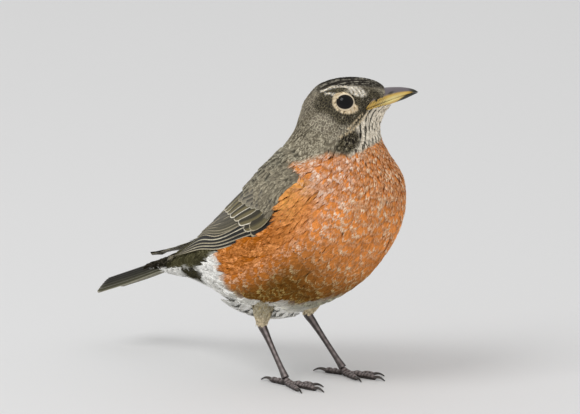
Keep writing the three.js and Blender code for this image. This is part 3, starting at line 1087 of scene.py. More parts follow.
def vane_faces(rows: int, columns: int) -> tuple[Array, Array]:
    """Triangles of one closed feather whose points are a grid, row after row from its root.

    The top is the whole grid. The underside spans straight from edge to edge, with fans that
    close the root and the toothed tip.

    Args:
        rows, columns: Size of the grid.

    Returns:
        The triangles, and which of them belong to the underside.
    """
    top = grid_faces(rows, columns, False)
    left, right = np.arange(rows) * columns, np.arange(rows) * columns + columns - 1
    under = [np.stack([left[1:-2], right[1:-2], right[2:-1]], axis=-1),
             np.stack([left[1:-2], right[2:-1], left[2:-1]], axis=-1)]
    j = np.arange(columns - 1)
    root = np.stack([np.full(columns - 1, left[1]), j, j + 1], axis=-1)
    middle = columns // 2
    anchor = np.where(j < middle, left[-2], right[-2])
    tip = np.stack([anchor, left[-1] + j + 1, left[-1] + j], axis=-1)
    corners = np.array([(left[1], right[0], right[1]), (left[-2], right[-2], left[-1] + middle)])
    under = np.concatenate(under + [root, tip, corners])
    return np.concatenate([top, under]), np.arange(len(top) + len(under)) >= len(top)


@dataclass
class Plumes:
    """Feathers worked out from their lines: a grid of places on the bed for each of them."""

    lines: Lines
    form: VaneForm
    a: Array
    b: Array
    lift: Array
    rim: Array
    across: Array
    along: Array

    @staticmethod
    def grown(lines: Lines, form: VaneForm, width: Array, root_lift: Array, tip_lift: Array,
              random: np.random.Generator, outer: Array | float = 1.0) -> "Plumes":
        """Spreads each line into a vane.

        A point at share s along and x across lies x half widths to the side of the line. The half
        width grows from the neck to the shoulder and tapers to the tip. The tip's corners fall
        back as a circle does, and its last row is cut into teeth. The height goes from the root's
        to the tip's, less the camber times the square of x.

        Args:
            lines: The middle lines.
            form: The outline.
            width: Half widths in mm.
            root_lift, tip_lift: Heights over the bed.
            random: Source of the small differences between feathers.
            outer: 1 or -1, the side of the outer web.

        Returns:
            The plumes.
        """
        count = len(width)
        size = (count, form.rows, form.columns)
        s = np.linspace(0, 1, form.rows)[None, :, None]
        x = np.linspace(-1, 1, form.columns)[None, None, :]
        half = form.neck + (1 - form.neck) * smooth(0, form.shoulder, s)
        half = width[:, None, None] * half * (1 - form.taper * smooth(form.taper_from, 1.0, s))
        web = np.where(x * np.reshape(outer, (-1, 1, 1)) > 0, form.outer_web, 1.0)
        uneven = random.normal(0, form.spread, (count, 1, form.columns)) * smooth(0.3, 1, s)
        aside = (x + uneven * (1 - np.abs(x))) * half * web
        length = lines.run[:, -1][:, None, None]
        tooth = np.where(np.arange(form.columns) % 2 == 0, -0.5, 0.5) * form.teeth
        tooth = tooth + random.uniform(-0.5, 0.5, (count, 1, form.columns)) * form.teeth
        fall = form.blunt * width[:, None, None] * (1 - np.sqrt(1 - TIP_ROUND * x**2))
        ahead = (tooth - fall) * s**2 * smooth(0.2, 1, s)
        head, side = lines.head[:, :, None], lines.side[:, :, None]
        a = lines.a[..., None] + head[..., 0] * ahead + side[..., 0] * aside
        b = lines.b[..., None] + head[..., 1] * ahead + side[..., 1] * aside
        low, high = (np.broadcast_to(value, (count,))[:, None, None] for value in (root_lift, tip_lift))
        lift = run_between((low, high), s)
        lift = lift - np.where(web < 1, form.outer_camber, form.camber) * x**2 * smooth(-0.2, 0.5, s)
        lift = lift + form.ridge * np.exp(-((x / form.shaft) ** 2)) * (1 - 0.8 * s)
        inner = np.where(web < 1, 1.0, form.inner_rim)
        rim = np.minimum((1 - np.abs(x)) * half * web * inner, (1 - s) * length)
        along = np.broadcast_to(lines.run[..., None] + ahead, size)
        return Plumes(lines, form, a, b, np.broadcast_to(lift, size), rim, aside, along)

    def place(self, share: float, local: float) -> tuple[Array, Array]:
        """Where markings are read: on the middle line, moved towards each point's own place.

        Args:
            share: Share of the length at which the middle line is read.
            local: How far the place moves towards the point's own, from 0 to 1.

        Returns:
            The places on the bed.
        """
        row = int(round(share * (self.form.rows - 1)))
        middle_a, middle_b = self.lines.a[:, row, None, None], self.lines.b[:, row, None, None]
        return middle_a + (self.a - middle_a) * local, middle_b + (self.b - middle_b) * local

    def shape(self, base: Array, fringe: Array, reach: Array, random: np.random.Generator,
              home: Callable[[Array, Array], tuple[Array, Array]]) -> Shape:
        """The plumes as one mesh with its colours and maps.

        Args:
            base, fringe: Colours, one for each feather or one for each point.
            reach: How many mm the fringe reaches in from the edge.
            random: Source of each feather's own number.
            home: Gives the patch's place on the baking map for roots.

        Returns:
            The shape.
        """
        form, count = self.form, len(self.a)
        faces, under = vane_faces(form.rows, form.columns)
        size = form.rows * form.columns
        all_faces = (faces[None] + np.arange(count)[:, None, None] * size).reshape(-1, 3)
        grid = self.a.shape
        points = self.lines.bed.point(self.a, self.b, self.lift)
        flat = points.reshape(-1, 3)
        tilt = np.cross(np.gradient(points, axis=1), np.gradient(points, axis=2)).reshape(-1, 3)
        lie = self.lines.bed.normal(self.a, self.b).reshape(-1, 3)
        tilt = unit(tilt) * np.sign(np.sum(tilt * lie, axis=-1, keepdims=True))
        normals = unit(lie * form.blend + tilt * (1 - form.blend))[all_faces]
        below = np.tile(under, count)
        first, second, third = (flat[all_faces[below, k]] for k in range(3))
        normals[below] = unit(np.cross(second - first, third - first))[:, None]
        chance = np.broadcast_to(random.random((count, 1, 1)), grid)
        patch_u, patch_v = home(self.lines.a[:, 0], self.lines.b[:, 0])
        x = np.linspace(-0.5, 0.5, form.columns)[None, None, :]
        s = np.linspace(-0.5, 0.5, form.rows)[None, :, None]
        bake = np.stack(np.broadcast_arrays(
            patch_u[:, None, None] + PATCH * x, patch_v[:, None, None] + PATCH * s), axis=-1)
        vane = np.stack([0.5 + self.across / MAP_SCALE, self.along / MAP_SCALE], axis=-1)
        tone, edging = (np.broadcast_to(colour if colour.ndim == 4 else colour[:, None, None], grid + (3,))
                        for colour in (base, fringe))
        reach = np.broadcast_to(reach if np.ndim(reach) == 3 else np.reshape(reach, (-1, 1, 1)), grid)
        edge = np.clip(self.rim / np.maximum(reach, 0.02), 0, 6)
        return Shape(flat, all_faces, below, {
            "vane": vane.reshape(-1, 2),
            "OFBake": bake.reshape(-1, 2),
            "Tone": tone.reshape(-1, 3),
            "Fringe": edging.reshape(-1, 3),
            "edge": edge.ravel(),
            "chance": chance.ravel(),
        }, normals)


def on_map(share: Array, margin: float = 0.02) -> Array:
    """A share from 0 to 1 kept off the edges of the baking map."""
    return margin + (1 - 2 * margin) * share


def body_home(u: Array, phi: Array) -> tuple[Array, Array]:
    """Place of a root on the unwrapped body: its angle across and its section up."""
    return on_map((phi / (2 * np.pi)) % 1.0), on_map(np.clip(u / LAST_SECTION, 0, 1))


def scatter(bed: Bed, a_span: Pair, b_span: Pair,
            gap: Callable[[Array, Array], Array], seed: int) -> tuple[Array, Array]:
    """Roots spread evenly at random, none nearer to another than the gap there.

    Args:
        bed: The surface.
        a_span, b_span: The stretch of it to fill.
        gap: Least distance in mm at given places.
        seed: Number that sets the random draw.

    Returns:
        The roots' places.
    """
    random = np.random.default_rng(seed)
    a, b = random.uniform(*a_span, POOL), random.uniform(*b_span, POOL)
    along, across = bed.tangents(a, b)
    weight = np.linalg.norm(np.cross(along, across), axis=-1) / gap(a, b) ** 2
    rectangle = (a_span[1] - a_span[0]) * (b_span[1] - b_span[0])
    tries = int(TRIES * weight.mean() * rectangle)
    index = random.choice(len(a), tries, p=weight / weight.sum())
    jitter = random.normal(0, 1, (2, tries)) * JITTER
    a = np.clip(a[index] + jitter[0], *a_span)
    b = np.clip(b[index] + jitter[1], *b_span)
    points, reach = bed.bare(a, b), gap(a, b)
    tree = KDTree(tries)
    for i, point in enumerate(points):
        tree.insert(point, i)
    tree.balance()
    free = np.ones(tries, bool)
    chosen = []
    for i in range(tries):
        if free[i]:
            chosen.append(i)
            free[[j for _, j, _ in tree.find_range(points[i], reach[i])]] = False
    return a[chosen], b[chosen]


# --- finishes

Socket = bpy.types.NodeSocket
Value = Union[Socket, float]
BARB_COS, BARB_SIN = 0.93, 0.37  # of the angle between the barbs and the shaft


class Graph:
    """Short calls for laying out nodes in a tree."""

    def __init__(self, tree: bpy.types.NodeTree) -> None:
        """Takes the tree to fill."""
        self.tree = tree

    @staticmethod
    def of_group(name: str, inputs: dict[str, float]) -> "Graph":
        """The graph of a new group that takes numbers and puts out a color and a height.

        Args:
            name: The group's name.
            inputs: Its inputs, with their usual values.

        Returns:
            The graph, still empty.
        """
        tree = bpy.data.node_groups.new(name, "ShaderNodeTree")
        for key, value in inputs.items():
            socket = tree.interface.new_socket(key, in_out="INPUT", socket_type="NodeSocketFloat")
            socket.default_value = value
        for key, kind in (("Color", "NodeSocketColor"), ("Height", "NodeSocketFloat")):
            tree.interface.new_socket(key, in_out="OUTPUT", socket_type=kind)
        return Graph(tree)

    def add(self, kind: str, values: dict[str | int, Value] | None = None,
            **settings: object) -> bpy.types.Node:
        """Adds a node.

        Args:
            kind: Its type.
            values: What its inputs get: a socket is linked, and a plain value is set.
            settings: The node's own settings.

        Returns:
            The node.
        """
        node = self.tree.nodes.new(kind)
        for key, value in settings.items():
            setattr(node, key, value)
        for key, value in (values or {}).items():
            if isinstance(value, Socket):
                self.tree.links.new(value, node.inputs[key])
            else:
                node.inputs[key].default_value = value
        return node

    def math(self, operation: str, *values: Value) -> Socket:
        """The result of a Math node."""
        return self.add("ShaderNodeMath", dict(enumerate(values)), operation=operation).outputs[0]

    def plus(self, first: Value, second: Value) -> Socket:
        """The sum of two values."""
        return self.math("ADD", first, second)

    def minus(self, first: Value, second: Value) -> Socket:
        """The first value less the second."""
        return self.math("SUBTRACT", first, second)

    def times(self, first: Value, second: Value) -> Socket:
        """The product of two values."""
        return self.math("MULTIPLY", first, second)

    def ramp(self, value: Socket, low: Value, high: Value, to_low: Value, to_high: Value) -> Socket:
        """A value carried smoothly from one range to another."""
        ends = {"Value": value, "From Min": low, "From Max": high, "To Min": to_low, "To Max": to_high}
        return self.add("ShaderNodeMapRange", ends, interpolation_type="SMOOTHSTEP").outputs[0]

    def blend(self, share: Socket, first: Socket, second: Socket) -> Socket:
        """Two colours mixed."""
        return self.add("ShaderNodeMix", {0: share, 6: first, 7: second}, data_type="RGBA").outputs[2]

    def brighten(self, color: Socket, light: Socket) -> Socket:
        """A colour made lighter or darker."""
        return self.add("ShaderNodeVectorMath", {0: color, "Scale": light}, operation="SCALE").outputs[0]

    def noise(self, place: Socket, scale: Value, detail: float, roughness: float) -> Socket:
        """Smooth noise about 0.5."""
        settings = {"Vector": place, "Scale": scale, "Detail": detail, "Roughness": roughness}
        return self.add("ShaderNodeTexNoise", settings).outputs["Fac"]

    def read(self, name: str, output: str = "Fac") -> Socket:
        """An attribute of the mesh."""
        return self.add("ShaderNodeAttribute", attribute_name=name).outputs[output]


def vane_group() -> bpy.types.NodeTree:
    """The look of a vane: tone, ragged fringe, fine barbs that slant off the shaft, and the shaft.

    A barb's place is how far it lies across the direction that barbs run in, which leaves the
    shaft at an angle. Noise that is fine across the barbs and long along them draws them.

    Returns:
        The group.
    """
    graph = Graph.of_group("vane_pattern", {"Barbs": 0.3, "Barb Count": 2.2, "Raggedness": 0.8,
                                            "Unevenness": 0.0, "Shaft Width": 0.0, "Shaft Tone": 0.5})
    plus, minus, times, ramp = graph.plus, graph.minus, graph.times, graph.ramp
    given = graph.add("NodeGroupInput").outputs
    ragged, width = given["Raggedness"], given["Shaft Width"]
    vane = graph.add("ShaderNodeUVMap", uv_map="vane").outputs[0]
    place = graph.add("ShaderNodeSeparateXYZ", {0: vane}).outputs
    out = graph.math("ABSOLUTE", times(minus(place[0], 0.5), MAP_SCALE))
    along = times(place[1], MAP_SCALE)
    chance = graph.read("chance")
    # Barbs: noise across and down their run, with a stretch of its own for each feather.
    cross = minus(times(out, BARB_COS), times(along, BARB_SIN))
    down = plus(times(out, BARB_SIN), times(along, BARB_COS))
    spot = graph.add("ShaderNodeCombineXYZ", {0: times(cross, given["Barb Count"]), 1: times(down, 0.3),
                                             2: times(chance, 90.0)}).outputs[0]
    barb = graph.noise(spot, 1.0, 2.0, 0.6)
    shift = minus(barb, 0.5)
    # Fringe: within one reach of the edge, broken by the barbs and fainter on some feathers.
    edge = plus(graph.read("edge"), times(shift, times(ragged, 3.0)))
    solid = minus(1.0, times(ragged, 0.85))
    fringe = times(ramp(edge, 0.6, 1.3, 1.0, 0.0), ramp(barb, 0.4, 0.6, solid, 1.0))
    faint = times(ramp(chance, 0.2, 0.85, 1.0, 0.0), given["Unevenness"])
    fringe = times(fringe, minus(1.0, faint))
    color = graph.blend(fringe, graph.read("Tone", "Color"), graph.read("Fringe", "Color"))
    # Light: darker and lighter barbs, feathers a little unlike each other, and the shaft's tone.
    light = plus(1.0, times(shift, times(given["Barbs"], 2.4)))
    light = times(light, ramp(chance, 0.0, 1.0, 0.9, 1.1))
    shaft = ramp(out, times(width, 0.4), width, 1.0, 0.0)
    light = times(light, plus(1.0, times(shaft, given["Shaft Tone"])))
    graph.add("NodeGroupOutput", {"Color": graph.brighten(color, light), "Height": plus(barb, shaft)})
    return graph.tree


def grain_group() -> bpy.types.NodeTree:
    """Fine mottling of a tone, from noise on Object coordinates, with its height.

    Returns:
        The group.
    """
    graph = Graph.of_group("grain_pattern", {"Scale": 900.0, "Contrast": 0.2})
    given = graph.add("NodeGroupInput").outputs
    place = graph.add("ShaderNodeTexCoord").outputs["Object"]
    noise = graph.noise(place, given["Scale"], 3.0, 0.5)
    contrast = graph.times(given["Contrast"], 3.0)
    light = graph.plus(1.0, graph.times(graph.minus(noise, 0.5), contrast))
    color = graph.brighten(graph.read("Tone", "Color"), light)
    graph.add("NodeGroupOutput", {"Color": color, "Height": noise})
    return graph.tree


GROUPS: dict[str, bpy.types.NodeTree] = {}


@dataclass(frozen=True)
class Finish:
    """A surface finish: a pattern group with its values, and the shader's own plain numbers."""

    name: str
    pattern: str
    values: tuple[tuple[str, float], ...] = ()
    roughness: float = 0.7
    specular: float = 0.3
    coat: float = 0.0
    bump: float = 0.2
    depth: float = 0.0001

    def material(self) -> bpy.types.Material:
        """The finish as a material, made once.

        Returns:
            The material.
        """
        if self.name in bpy.data.materials:
            return bpy.data.materials[self.name]
        material = bpy.data.materials.new(self.name)
        material.use_nodes = True
        material.node_tree.nodes.clear()
        graph = Graph(material.node_tree)
        group = graph.add("ShaderNodeGroup", node_tree=GROUPS[self.pattern])
        for key, value in self.values:
            group.inputs[key].default_value = value
        bump = graph.add("ShaderNodeBump", {"Height": group.outputs["Height"], "Strength": self.bump,
                                            "Distance": self.depth})
        shader = graph.add("ShaderNodeBsdfPrincipled", {
            "Base Color": group.outputs["Color"], "Roughness": self.roughness,
            "Specular IOR Level": self.specular, "Coat Weight": self.coat, "Coat Roughness": 0.05,
            "Normal": bump.outputs[0]})
        graph.add("ShaderNodeOutputMaterial", {0: shader.outputs[0]})
        return material


DOWN = Finish("soft_feathers", "vane", (("Barbs", 0.35), ("Raggedness", 0.9)), 0.9, 0.05)
FRINGED = Finish("fringed_feathers", "vane", (("Barbs", 0.8), ("Barb Count", 1.6), ("Raggedness", 0.78),
                                              ("Unevenness", 0.6)), 0.9, 0.05)
SHOULDER = Finish("shoulder_feathers", "vane", (("Barbs", 0.9), ("Barb Count", 1.0), ("Raggedness", 1.2),
                                                ("Shaft Width", 0.7), ("Shaft Tone", -0.35)), 0.9, 0.1)
GRIZZLED = Finish("grizzled_feathers", "vane", (("Barbs", 0.75), ("Barb Count", 2.2), ("Raggedness", 1.4)),
                  0.9, 0.05)
SLEEK = Finish("small_feathers", "vane", (("Barbs", 0.6), ("Barb Count", 1.7), ("Raggedness", 0.6)),
               0.8, 0.1)
STREAKED = Finish("streaked_feathers", "vane", (("Barbs", 0.4), ("Raggedness", 0.6), ("Shaft Width", 1.2),
                                                ("Shaft Tone", -0.62)), 0.8, 0.15)
FLIGHT = Finish("flight_feathers", "vane", (("Barbs", 0.4), ("Raggedness", 0.2), ("Shaft Width", 0.35),
                                           ("Shaft Tone", -0.3)), 0.55, 0.35)
SKIN = Finish("skin_under_feathers", "grain", (("Scale", 700.0), ("Contrast", 0.2)), 0.9, 0.1)
HORN = Finish("bill_horn", "grain", (("Scale", 260.0), ("Contrast", 0.12)), 0.34, 0.5, coat=0.2, bump=0.1)
SCALES = Finish("leg_scales", "grain", (("Scale", 600.0), ("Contrast", 0.25)), 0.42, 0.5, bump=0.3)
CLAW = Finish("claw_horn", "grain", (("Scale", 400.0), ("Contrast", 0.2)), 0.3, 0.5)
CORNEA = Finish("wet_eye", "grain", (("Scale", 500.0), ("Contrast", 0.15)), 0.25, 0.0, coat=0.45, bump=0.0)


# --- coat and skin

DEPTHS = ((0, 1.6), (3, 2.3), (8.5, 2.4), (10, 1.8), (11.5, 1.2), (14, 0.8), (19, 0.35))
GAPE = ((37.2, 142.8), (43, 146), (48.2, 148.3), (50.2, 150.3), (48.3, 152.8), (60, 154), (60, 143.5),
        (50.8, 144.3), (44, 143.1), (38, 142.2))  # bare of feathers, in the side view


def coat_depth(u: Array) -> Array:
    """How deep the skin lies under the tips of the feathers, in mm."""
    return along_table(u, DEPTHS)


def eye_gap(u: Array, phi: Array) -> Array:
    """Distance from the eye's middle, where 1 is the edge of its opening."""
    x, v = side_view(u, phi)
    return np.hypot((x - EYE_PLACE[0]) / EYE_HALF[0], (v - EYE_PLACE[1]) / EYE_HALF[1])


@dataclass(frozen=True)
class Tract:
    """A stretch of the coat with one kind of feather."""

    name: str
    slot: str
    u_span: Pair
    angle_span: Pair
    gaps: Pairs  # least distance between roots at sections, in mm
    length: float  # in gaps
    width: float  # half width, in gaps
    form: VaneForm
    local: float  # how far markings follow each point and not the whole feather
    finish: Finish
    seed: int
    scatter_turn: float = 6.0  # degrees
    lift: float = 0.12  # height of the tips over the outline, in mm
    upturn: float = 0.0  # degrees that feathers turn up towards the wing
    ruffle: float = 0.35  # how unevenly high the tips stand, in mm
    rooting: float = 1.0  # depth of the roots as a share of the coat's

    def gap(self, u: Array, _: Array | None = None) -> Array:
        """Least distance between roots at sections, in mm."""
        return along_table(u, self.gaps)


HEAD_FORM = VaneForm(rows=5, columns=7, neck=0.6, blunt=0.6, teeth=0.35, camber=0.08, blend=0.7)
COLLAR_FORM = VaneForm(rows=6, columns=13, teeth=1.4, camber=0.15, inner_rim=4.0, spread=0.12, blend=0.75)
NECK_FORM = VaneForm(rows=6, columns=9, neck=0.5, blunt=0.8, teeth=1.2, camber=0.05, blend=0.95)
BREAST_FORM = VaneForm(rows=8, columns=17, teeth=1.6, camber=0.4, blunt=0.8, inner_rim=5.0, spread=0.1)
FLANK_FORM = VaneForm(rows=9, columns=13, teeth=3.0, camber=0.1, blunt=1.1, taper=0.35, spread=0.2,
                      inner_rim=3.0, blend=0.8)
BACK_FORM = VaneForm(rows=7, columns=13, teeth=0.6, camber=0.35, blunt=0.85)
VENT_FORM = VaneForm(rows=8, columns=13, teeth=3.4, camber=0.25, blunt=1.0, taper=0.3, spread=0.16,
                     blend=0.8)
THIGH_FORM = VaneForm(rows=6, columns=9, teeth=1.4, camber=0.3, blunt=0.9, taper=0.3, spread=0.12)

FLANK = Tract("coat_flank_right", "body_feathers", (4.3, 9.25), (254, 300), ((4.3, 2.4), (8.9, 2.0)),
              length=5.6, width=0.8, form=FLANK_FORM, local=0.3, finish=FRINGED, seed=14, scatter_turn=9,
              lift=0.05, upturn=8, ruffle=0.1, rooting=0.55)

TRACTS = (
    Tract("coat_head", "head_feathers", (10.55, 18.9), (0, 360),
          ((10.5, 1.35), (12, 1.1), (14, 0.9), (16, 0.8), (19, 0.6)),
          length=3.2, width=0.85, form=HEAD_FORM, local=1.0, finish=SLEEK, seed=11,
          lift=0.03, ruffle=0.03, rooting=0.5),
    Tract("coat_collar", "neck_feathers", (8.9, 10.75), (74, 286),
          ((8.9, 1.9), (10.0, 1.5), (10.8, 1.1)),
          length=4.4, width=0.78, form=COLLAR_FORM, local=0.8, finish=FRINGED, seed=20, scatter_turn=9,
          lift=0.05, ruffle=0.1, rooting=0.6),
    Tract("coat_neck", "neck_feathers", (8.7, 10.55), (-76, 76),
          ((8.9, 1.7), (9.6, 1.3), (10.6, 1.05)),
          length=4.4, width=0.95, form=NECK_FORM, local=0.6, finish=GRIZZLED, seed=12, scatter_turn=9,
          lift=0.0, ruffle=0.05, rooting=0.4),
    Tract("coat_breast", "body_feathers", (4.3, 8.95), (106, 254),
          ((4.3, 2.8), (6.0, 3.3), (7.6, 3.4), (8.4, 2.5), (9.0, 2.0)),
          length=4.2, width=0.9, form=BREAST_FORM, local=0.35, finish=FRINGED, seed=13,
          ruffle=0.2, rooting=0.38),
    FLANK,
    replace(FLANK, name="coat_flank_left", angle_span=(60, 106), seed=15),
    Tract("coat_back", "body_feathers", (4.0, 8.95), (-60, 60),
          ((4.0, 3.0), (7.0, 3.0), (9.0, 2.4)),
          length=3.5, width=1.0, form=BACK_FORM, local=0.3, finish=STREAKED, seed=16),
    Tract("coat_rump", "body_feathers", (1.25, 4.3), (-95, 95), ((1.2, 2.4), (4.3, 2.8)),
          length=4.2, width=1.1, form=BACK_FORM, local=0.4, finish=DOWN, seed=17, scatter_turn=7),
    Tract("coat_vent", "body_feathers", (1.25, 4.3), (95, 265), ((1.2, 2.2), (4.3, 2.6)),
          length=5.2, width=1.0, form=VENT_FORM, local=0.4, finish=DOWN, seed=18, scatter_turn=9),
    Tract("coat_tuft", "body_feathers", (5.0, 5.7), (166, 224), ((4.3, 1.5), (5.6, 1.5)),
          length=7.6, width=1.1, form=VENT_FORM, local=0.1, finish=DOWN, seed=19, scatter_turn=7,
          lift=2.3, ruffle=0.3),
)


@dataclass
class Coat:
    """The feathers of head, neck and trunk, laid like shingles from the tail to the bill."""

    thighs: Sequence[TubeBed]
    tracts: tuple[Tract, ...] = TRACTS
    root_clear: float = 1.04  # openings of the eye that roots keep from its middle
    line_clear: float = 1.07  # the same for whole feathers
    last_place: float = 0.3  # section behind which no feather reaches
    marked: float = 0.7  # share of a feather's length where its marking is read
    tip_spread: Pair = (-0.4, 0.6)  # least and greatest height of tips, in ruffles
    thigh_room: float = 6.6  # distance from a thigh's middle line that low feathers keep, in mm
    thigh_shift: Pair = (2.0, 2.6)  # of that line, ahead and outwards
    thigh_top: float = 42.5  # height under which they do so
    wing_inside: tuple[float, float, float, float] = (0.3, 6.95, 0.03, 0.92)
    over_wing: float = 0.9  # height of body feathers over the wing's face, in mm
    over_reach: Pair = (3.9, 2.2)  # place along the wing where they start to lie over it
    over_start: Pair = (-0.25, 0.05)  # place along the wing from which they are raised
    over_edges: tuple[float, ...] = (-0.12, 0.0, 1.0, 1.16)  # shares across it between which they are
    over_front: float = 0.15  # place along it up to which they may cross the whole wing
    over_span: Pair = (0.3, 0.95)  # share across the wing that they leave free
    push: float = 0.45  # how strongly feathers turn from an eye
    push_reach: Pair = (2.6, 1.3)  # openings of the eye within which they do

    def build(self) -> list[bpy.types.Object]:
        """Makes one piece for each tract."""
        return [self._tract(tract) for tract in self.tracts]

    def _tract(self, tract: Tract) -> bpy.types.Object:
        """Makes one tract: roots, then lines, then vanes with the body's markings.

        Args:
            tract: The stretch of the coat.

        Returns:
            The piece.
        """
        random = np.random.default_rng(tract.seed)
        u, phi = scatter(BODY, tract.u_span, tuple(np.radians(tract.angle_span)), tract.gap, tract.seed)
        keep = ~self._under_wing(u, phi) & (eye_gap(u, phi) > self.root_clear)
        u, phi = u[keep], phi[keep]
        gap = tract.gap(u)
        length = gap * tract.length * random.uniform(*UNLIKE, len(u))
        turn = np.radians(random.normal(0, tract.scatter_turn, len(u)))
        turn += np.radians(tract.upturn) * np.sign(np.sin(phi)) + self._turn_from_eye(u, phi)
        lines = Lines.marched(BODY, u, phi, turn, length, tract.form.rows)
        clear = self._is_clear(lines)
        lines, count = lines.kept(clear), clear.sum()
        width = gap[clear] * tract.width * random.uniform(*UNLIKE, count)
        tip = tract.lift + random.uniform(*self.tip_spread, count) * tract.ruffle
        root = -coat_depth(lines.a[:, 0]) * tract.rooting
        plumes = Plumes.grown(lines, tract.form, width, root, tip, random)
        plumes.lift = self._over_wings(plumes)
        tones = MARKINGS.at(*plumes.place(self.marked, tract.local))
        shape = plumes.shape(tones.base, tones.fringe, tones.reach, random, body_home)
        return make_piece(tract.name, shape, tract.finish, tract.slot)

    def _is_clear(self, lines: Lines) -> Array:
        """Whether feathers keep off the eyes, the gape, the tail's root, the wings and the thighs.

        Args:
            lines: Their middle lines.

        Returns:
            True for those that may stay.
        """
        clear = (eye_gap(lines.a, lines.b) > self.line_clear).all(axis=1)
        clear &= lines.a.min(axis=1) > self.last_place
        clear &= ~inside(*side_view(lines.a, lines.b), GAPE).any(axis=1)
        clear &= ~self._across_wing(lines.a, lines.b)
        return clear & ~self._before_thigh(BODY.bare(lines.a, lines.b))

    def _under_wing(self, u: Array, phi: Array) -> Array:
        """Whether roots lie well under a folded wing.

        Args:
            u: Sections.
            phi: Angles from the back.

        Returns:
            True for those that do.
        """
        first, last, top, bottom = self.wing_inside
        hidden = np.zeros(u.shape, bool)
        for wing in WINGS.values():
            r, t, _ = wing.cover(u, phi)
            hidden |= (r > first) & (r < last) & (t > top) & (t < bottom)
        return hidden

    def _over_wings(self, plumes: Plumes) -> Array:
        """Raises feathers where they cross a wing, so that they lie on its face.

        Args:
            plumes: The feathers.

        Returns:
            Their new heights.
        """
        lift = plumes.lift
        for wing in WINGS.values():
            r, t, height = wing.cover(plumes.a, plumes.b)
            over = between(self.over_edges, t) * smooth(*self.over_start, r)
            lift = lift + over * smooth(*self.over_reach, r) * (height + self.over_wing)
        return lift

    def _across_wing(self, u: Array, phi: Array) -> Array:
        """Whether feathers reach so far over the front of a wing that they would hide it.

        Args:
            u, phi: Places along each feather.

        Returns:
            True for those that do.
        """
        crosses = np.zeros(len(u), bool)
        for wing in WINGS.values():
            r, t, _ = wing.cover(u, phi)
            free = (t > self.over_span[0]) & (t < self.over_span[1])
            free &= (r > self.over_front) & (r < self.over_reach[0])
            crosses |= free.any(axis=1)
        return crosses

    def _before_thigh(self, points: Array) -> Array:
        """Whether feathers hang so low beside a thigh that they would hide it.

        Args:
            points: Points along each feather.

        Returns:
            True for those that do.
        """
        hides = np.zeros(len(points), bool)
        for thigh in self.thighs:
            top, end = np.array(thigh.top), np.array(thigh.end)
            share = (top[2] - points[..., 2]) / (top[2] - end[2])
            shift = self.thigh_shift * np.array([1, np.sign(top[1])])
            middle = top[:2] + (end - top)[:2] * share[..., None] + shift
            near = np.linalg.norm(points[..., :2] - middle, axis=-1) < self.thigh_room
            hides |= (near & (points[..., 2] < self.thigh_top)).any(axis=1)
        return hides

    def _turn_from_eye(self, u: Array, phi: Array) -> Array:
        """Turn in radians that keeps feathers near an eye from lying over it.

        The way from the eye, seen along and across a feather's lie, is added to that lie.

        Args:
            u, phi: Places of the roots.

        Returns:
            The turn of each.
        """
        side = np.sign(np.sin(phi))[:, None]
        eye = turn_head(np.array(EYE_CENTRE) * np.where(np.arange(3) == 1, side, 1.0))
        _, _, normal, lie = BODY.directions(u, phi)
        away = in_plane(BODY.bare(u, phi) - eye, normal)
        ahead = np.sum(away * lie, axis=-1)
        aside = np.sum(away * np.cross(normal, lie), axis=-1)
        push = np.maximum(0, self.push - ahead) * smooth(*self.push_reach, eye_gap(u, phi))
        return np.arctan2(push * aside, 1 + push * ahead)


@dataclass
class Skin:
    """One skin under the coat: head, neck and trunk, with the thighs grown into it."""

    span: Pair = (0.75, 18.95)
    rings: int = 260
    sides: int = 160
    limb_rings: int = 40
    shade: float = 0.55  # share of the coat's tone that is left on the skin between its feathers: painted shade
    thigh_depth: float = 1.3

    def build(self, thighs: Sequence[TubeBed]) -> bpy.types.Object:
        """Makes the skin.

        Args:
            thighs: The beds of the thighs.

        Returns:
            The piece.
        """
        u, phi = crossed(np.linspace(*self.span, self.rings), round_circle(self.sides))
        body = BODY.point(u, phi, -coat_depth(u))
        # The skin takes the coat's markings, darkened by the shade share: painted shade between the
        # feathers.
        shapes = [painted_tube(body, MARKINGS.at(u, phi).base * self.shade)]
        for thigh in thighs:
            a, b = crossed(np.linspace(0, 1, self.limb_rings), -round_circle(self.limb_rings))
            limb = thigh.point(a, b, -self.thigh_depth * (1 - 0.5 * a))
            # The thighs' skin is darkened the same way, as painted shade.
            shapes.append(painted_tube(limb, linear(Tint.THIGH) * self.shade))
        return make_piece("skin", Shape.joined(shapes), SKIN, "body_feathers",
                          ("head", "neck", "trunk", "thigh_right", "thigh_left"))


# --- wings


@dataclass(frozen=True)
class Row:
    """A row of feathers on a wing, given by its first and last feather and evened out between.

    Each end lists the (r, t) places that its middle line passes through, from root to tip.
    """

    name: str
    count: int
    first: Pairs
    last: Pairs
    width: Pair
    lift: Pair  # tip's height over the wing's face for the first and the last
    base: tuple[Tint, Tint]
    fringe: Tint
    reach: float
    form: VaneForm
    sink: float = 0.5  # how much lower the root lies
    fade: float = 0.0  # how much less the fringe reaches near the tip, as a share
    dark_from: float = 0.2  # mm out from the shaft where the dark inner part starts: partly the web's own dark, partly painted shade under the next feather


QUILL = VaneForm(rows=22, columns=11, neck=0.55, shoulder=0.25, blunt=1.3, taper=0.25, teeth=0.15,
                 camber=0.6, outer_camber=0.05, outer_web=0.55, inner_rim=6.0, ridge=0.14, spread=0.0)
PRIMARY = replace(QUILL, blunt=1.0, taper=0.8, teeth=0.0, camber=0.5, ridge=0.1)
COVERT = VaneForm(rows=10, columns=11, neck=0.5, shoulder=0.4, blunt=0.9, taper=0.05, teeth=0.3,
                  camber=0.6, outer_camber=0.05, outer_web=0.7, inner_rim=3.0, ridge=0.08, spread=0.03)
LOOSE = VaneForm(rows=8, columns=13, neck=0.5, blunt=0.9, teeth=1.0, camber=0.2, blend=0.75)

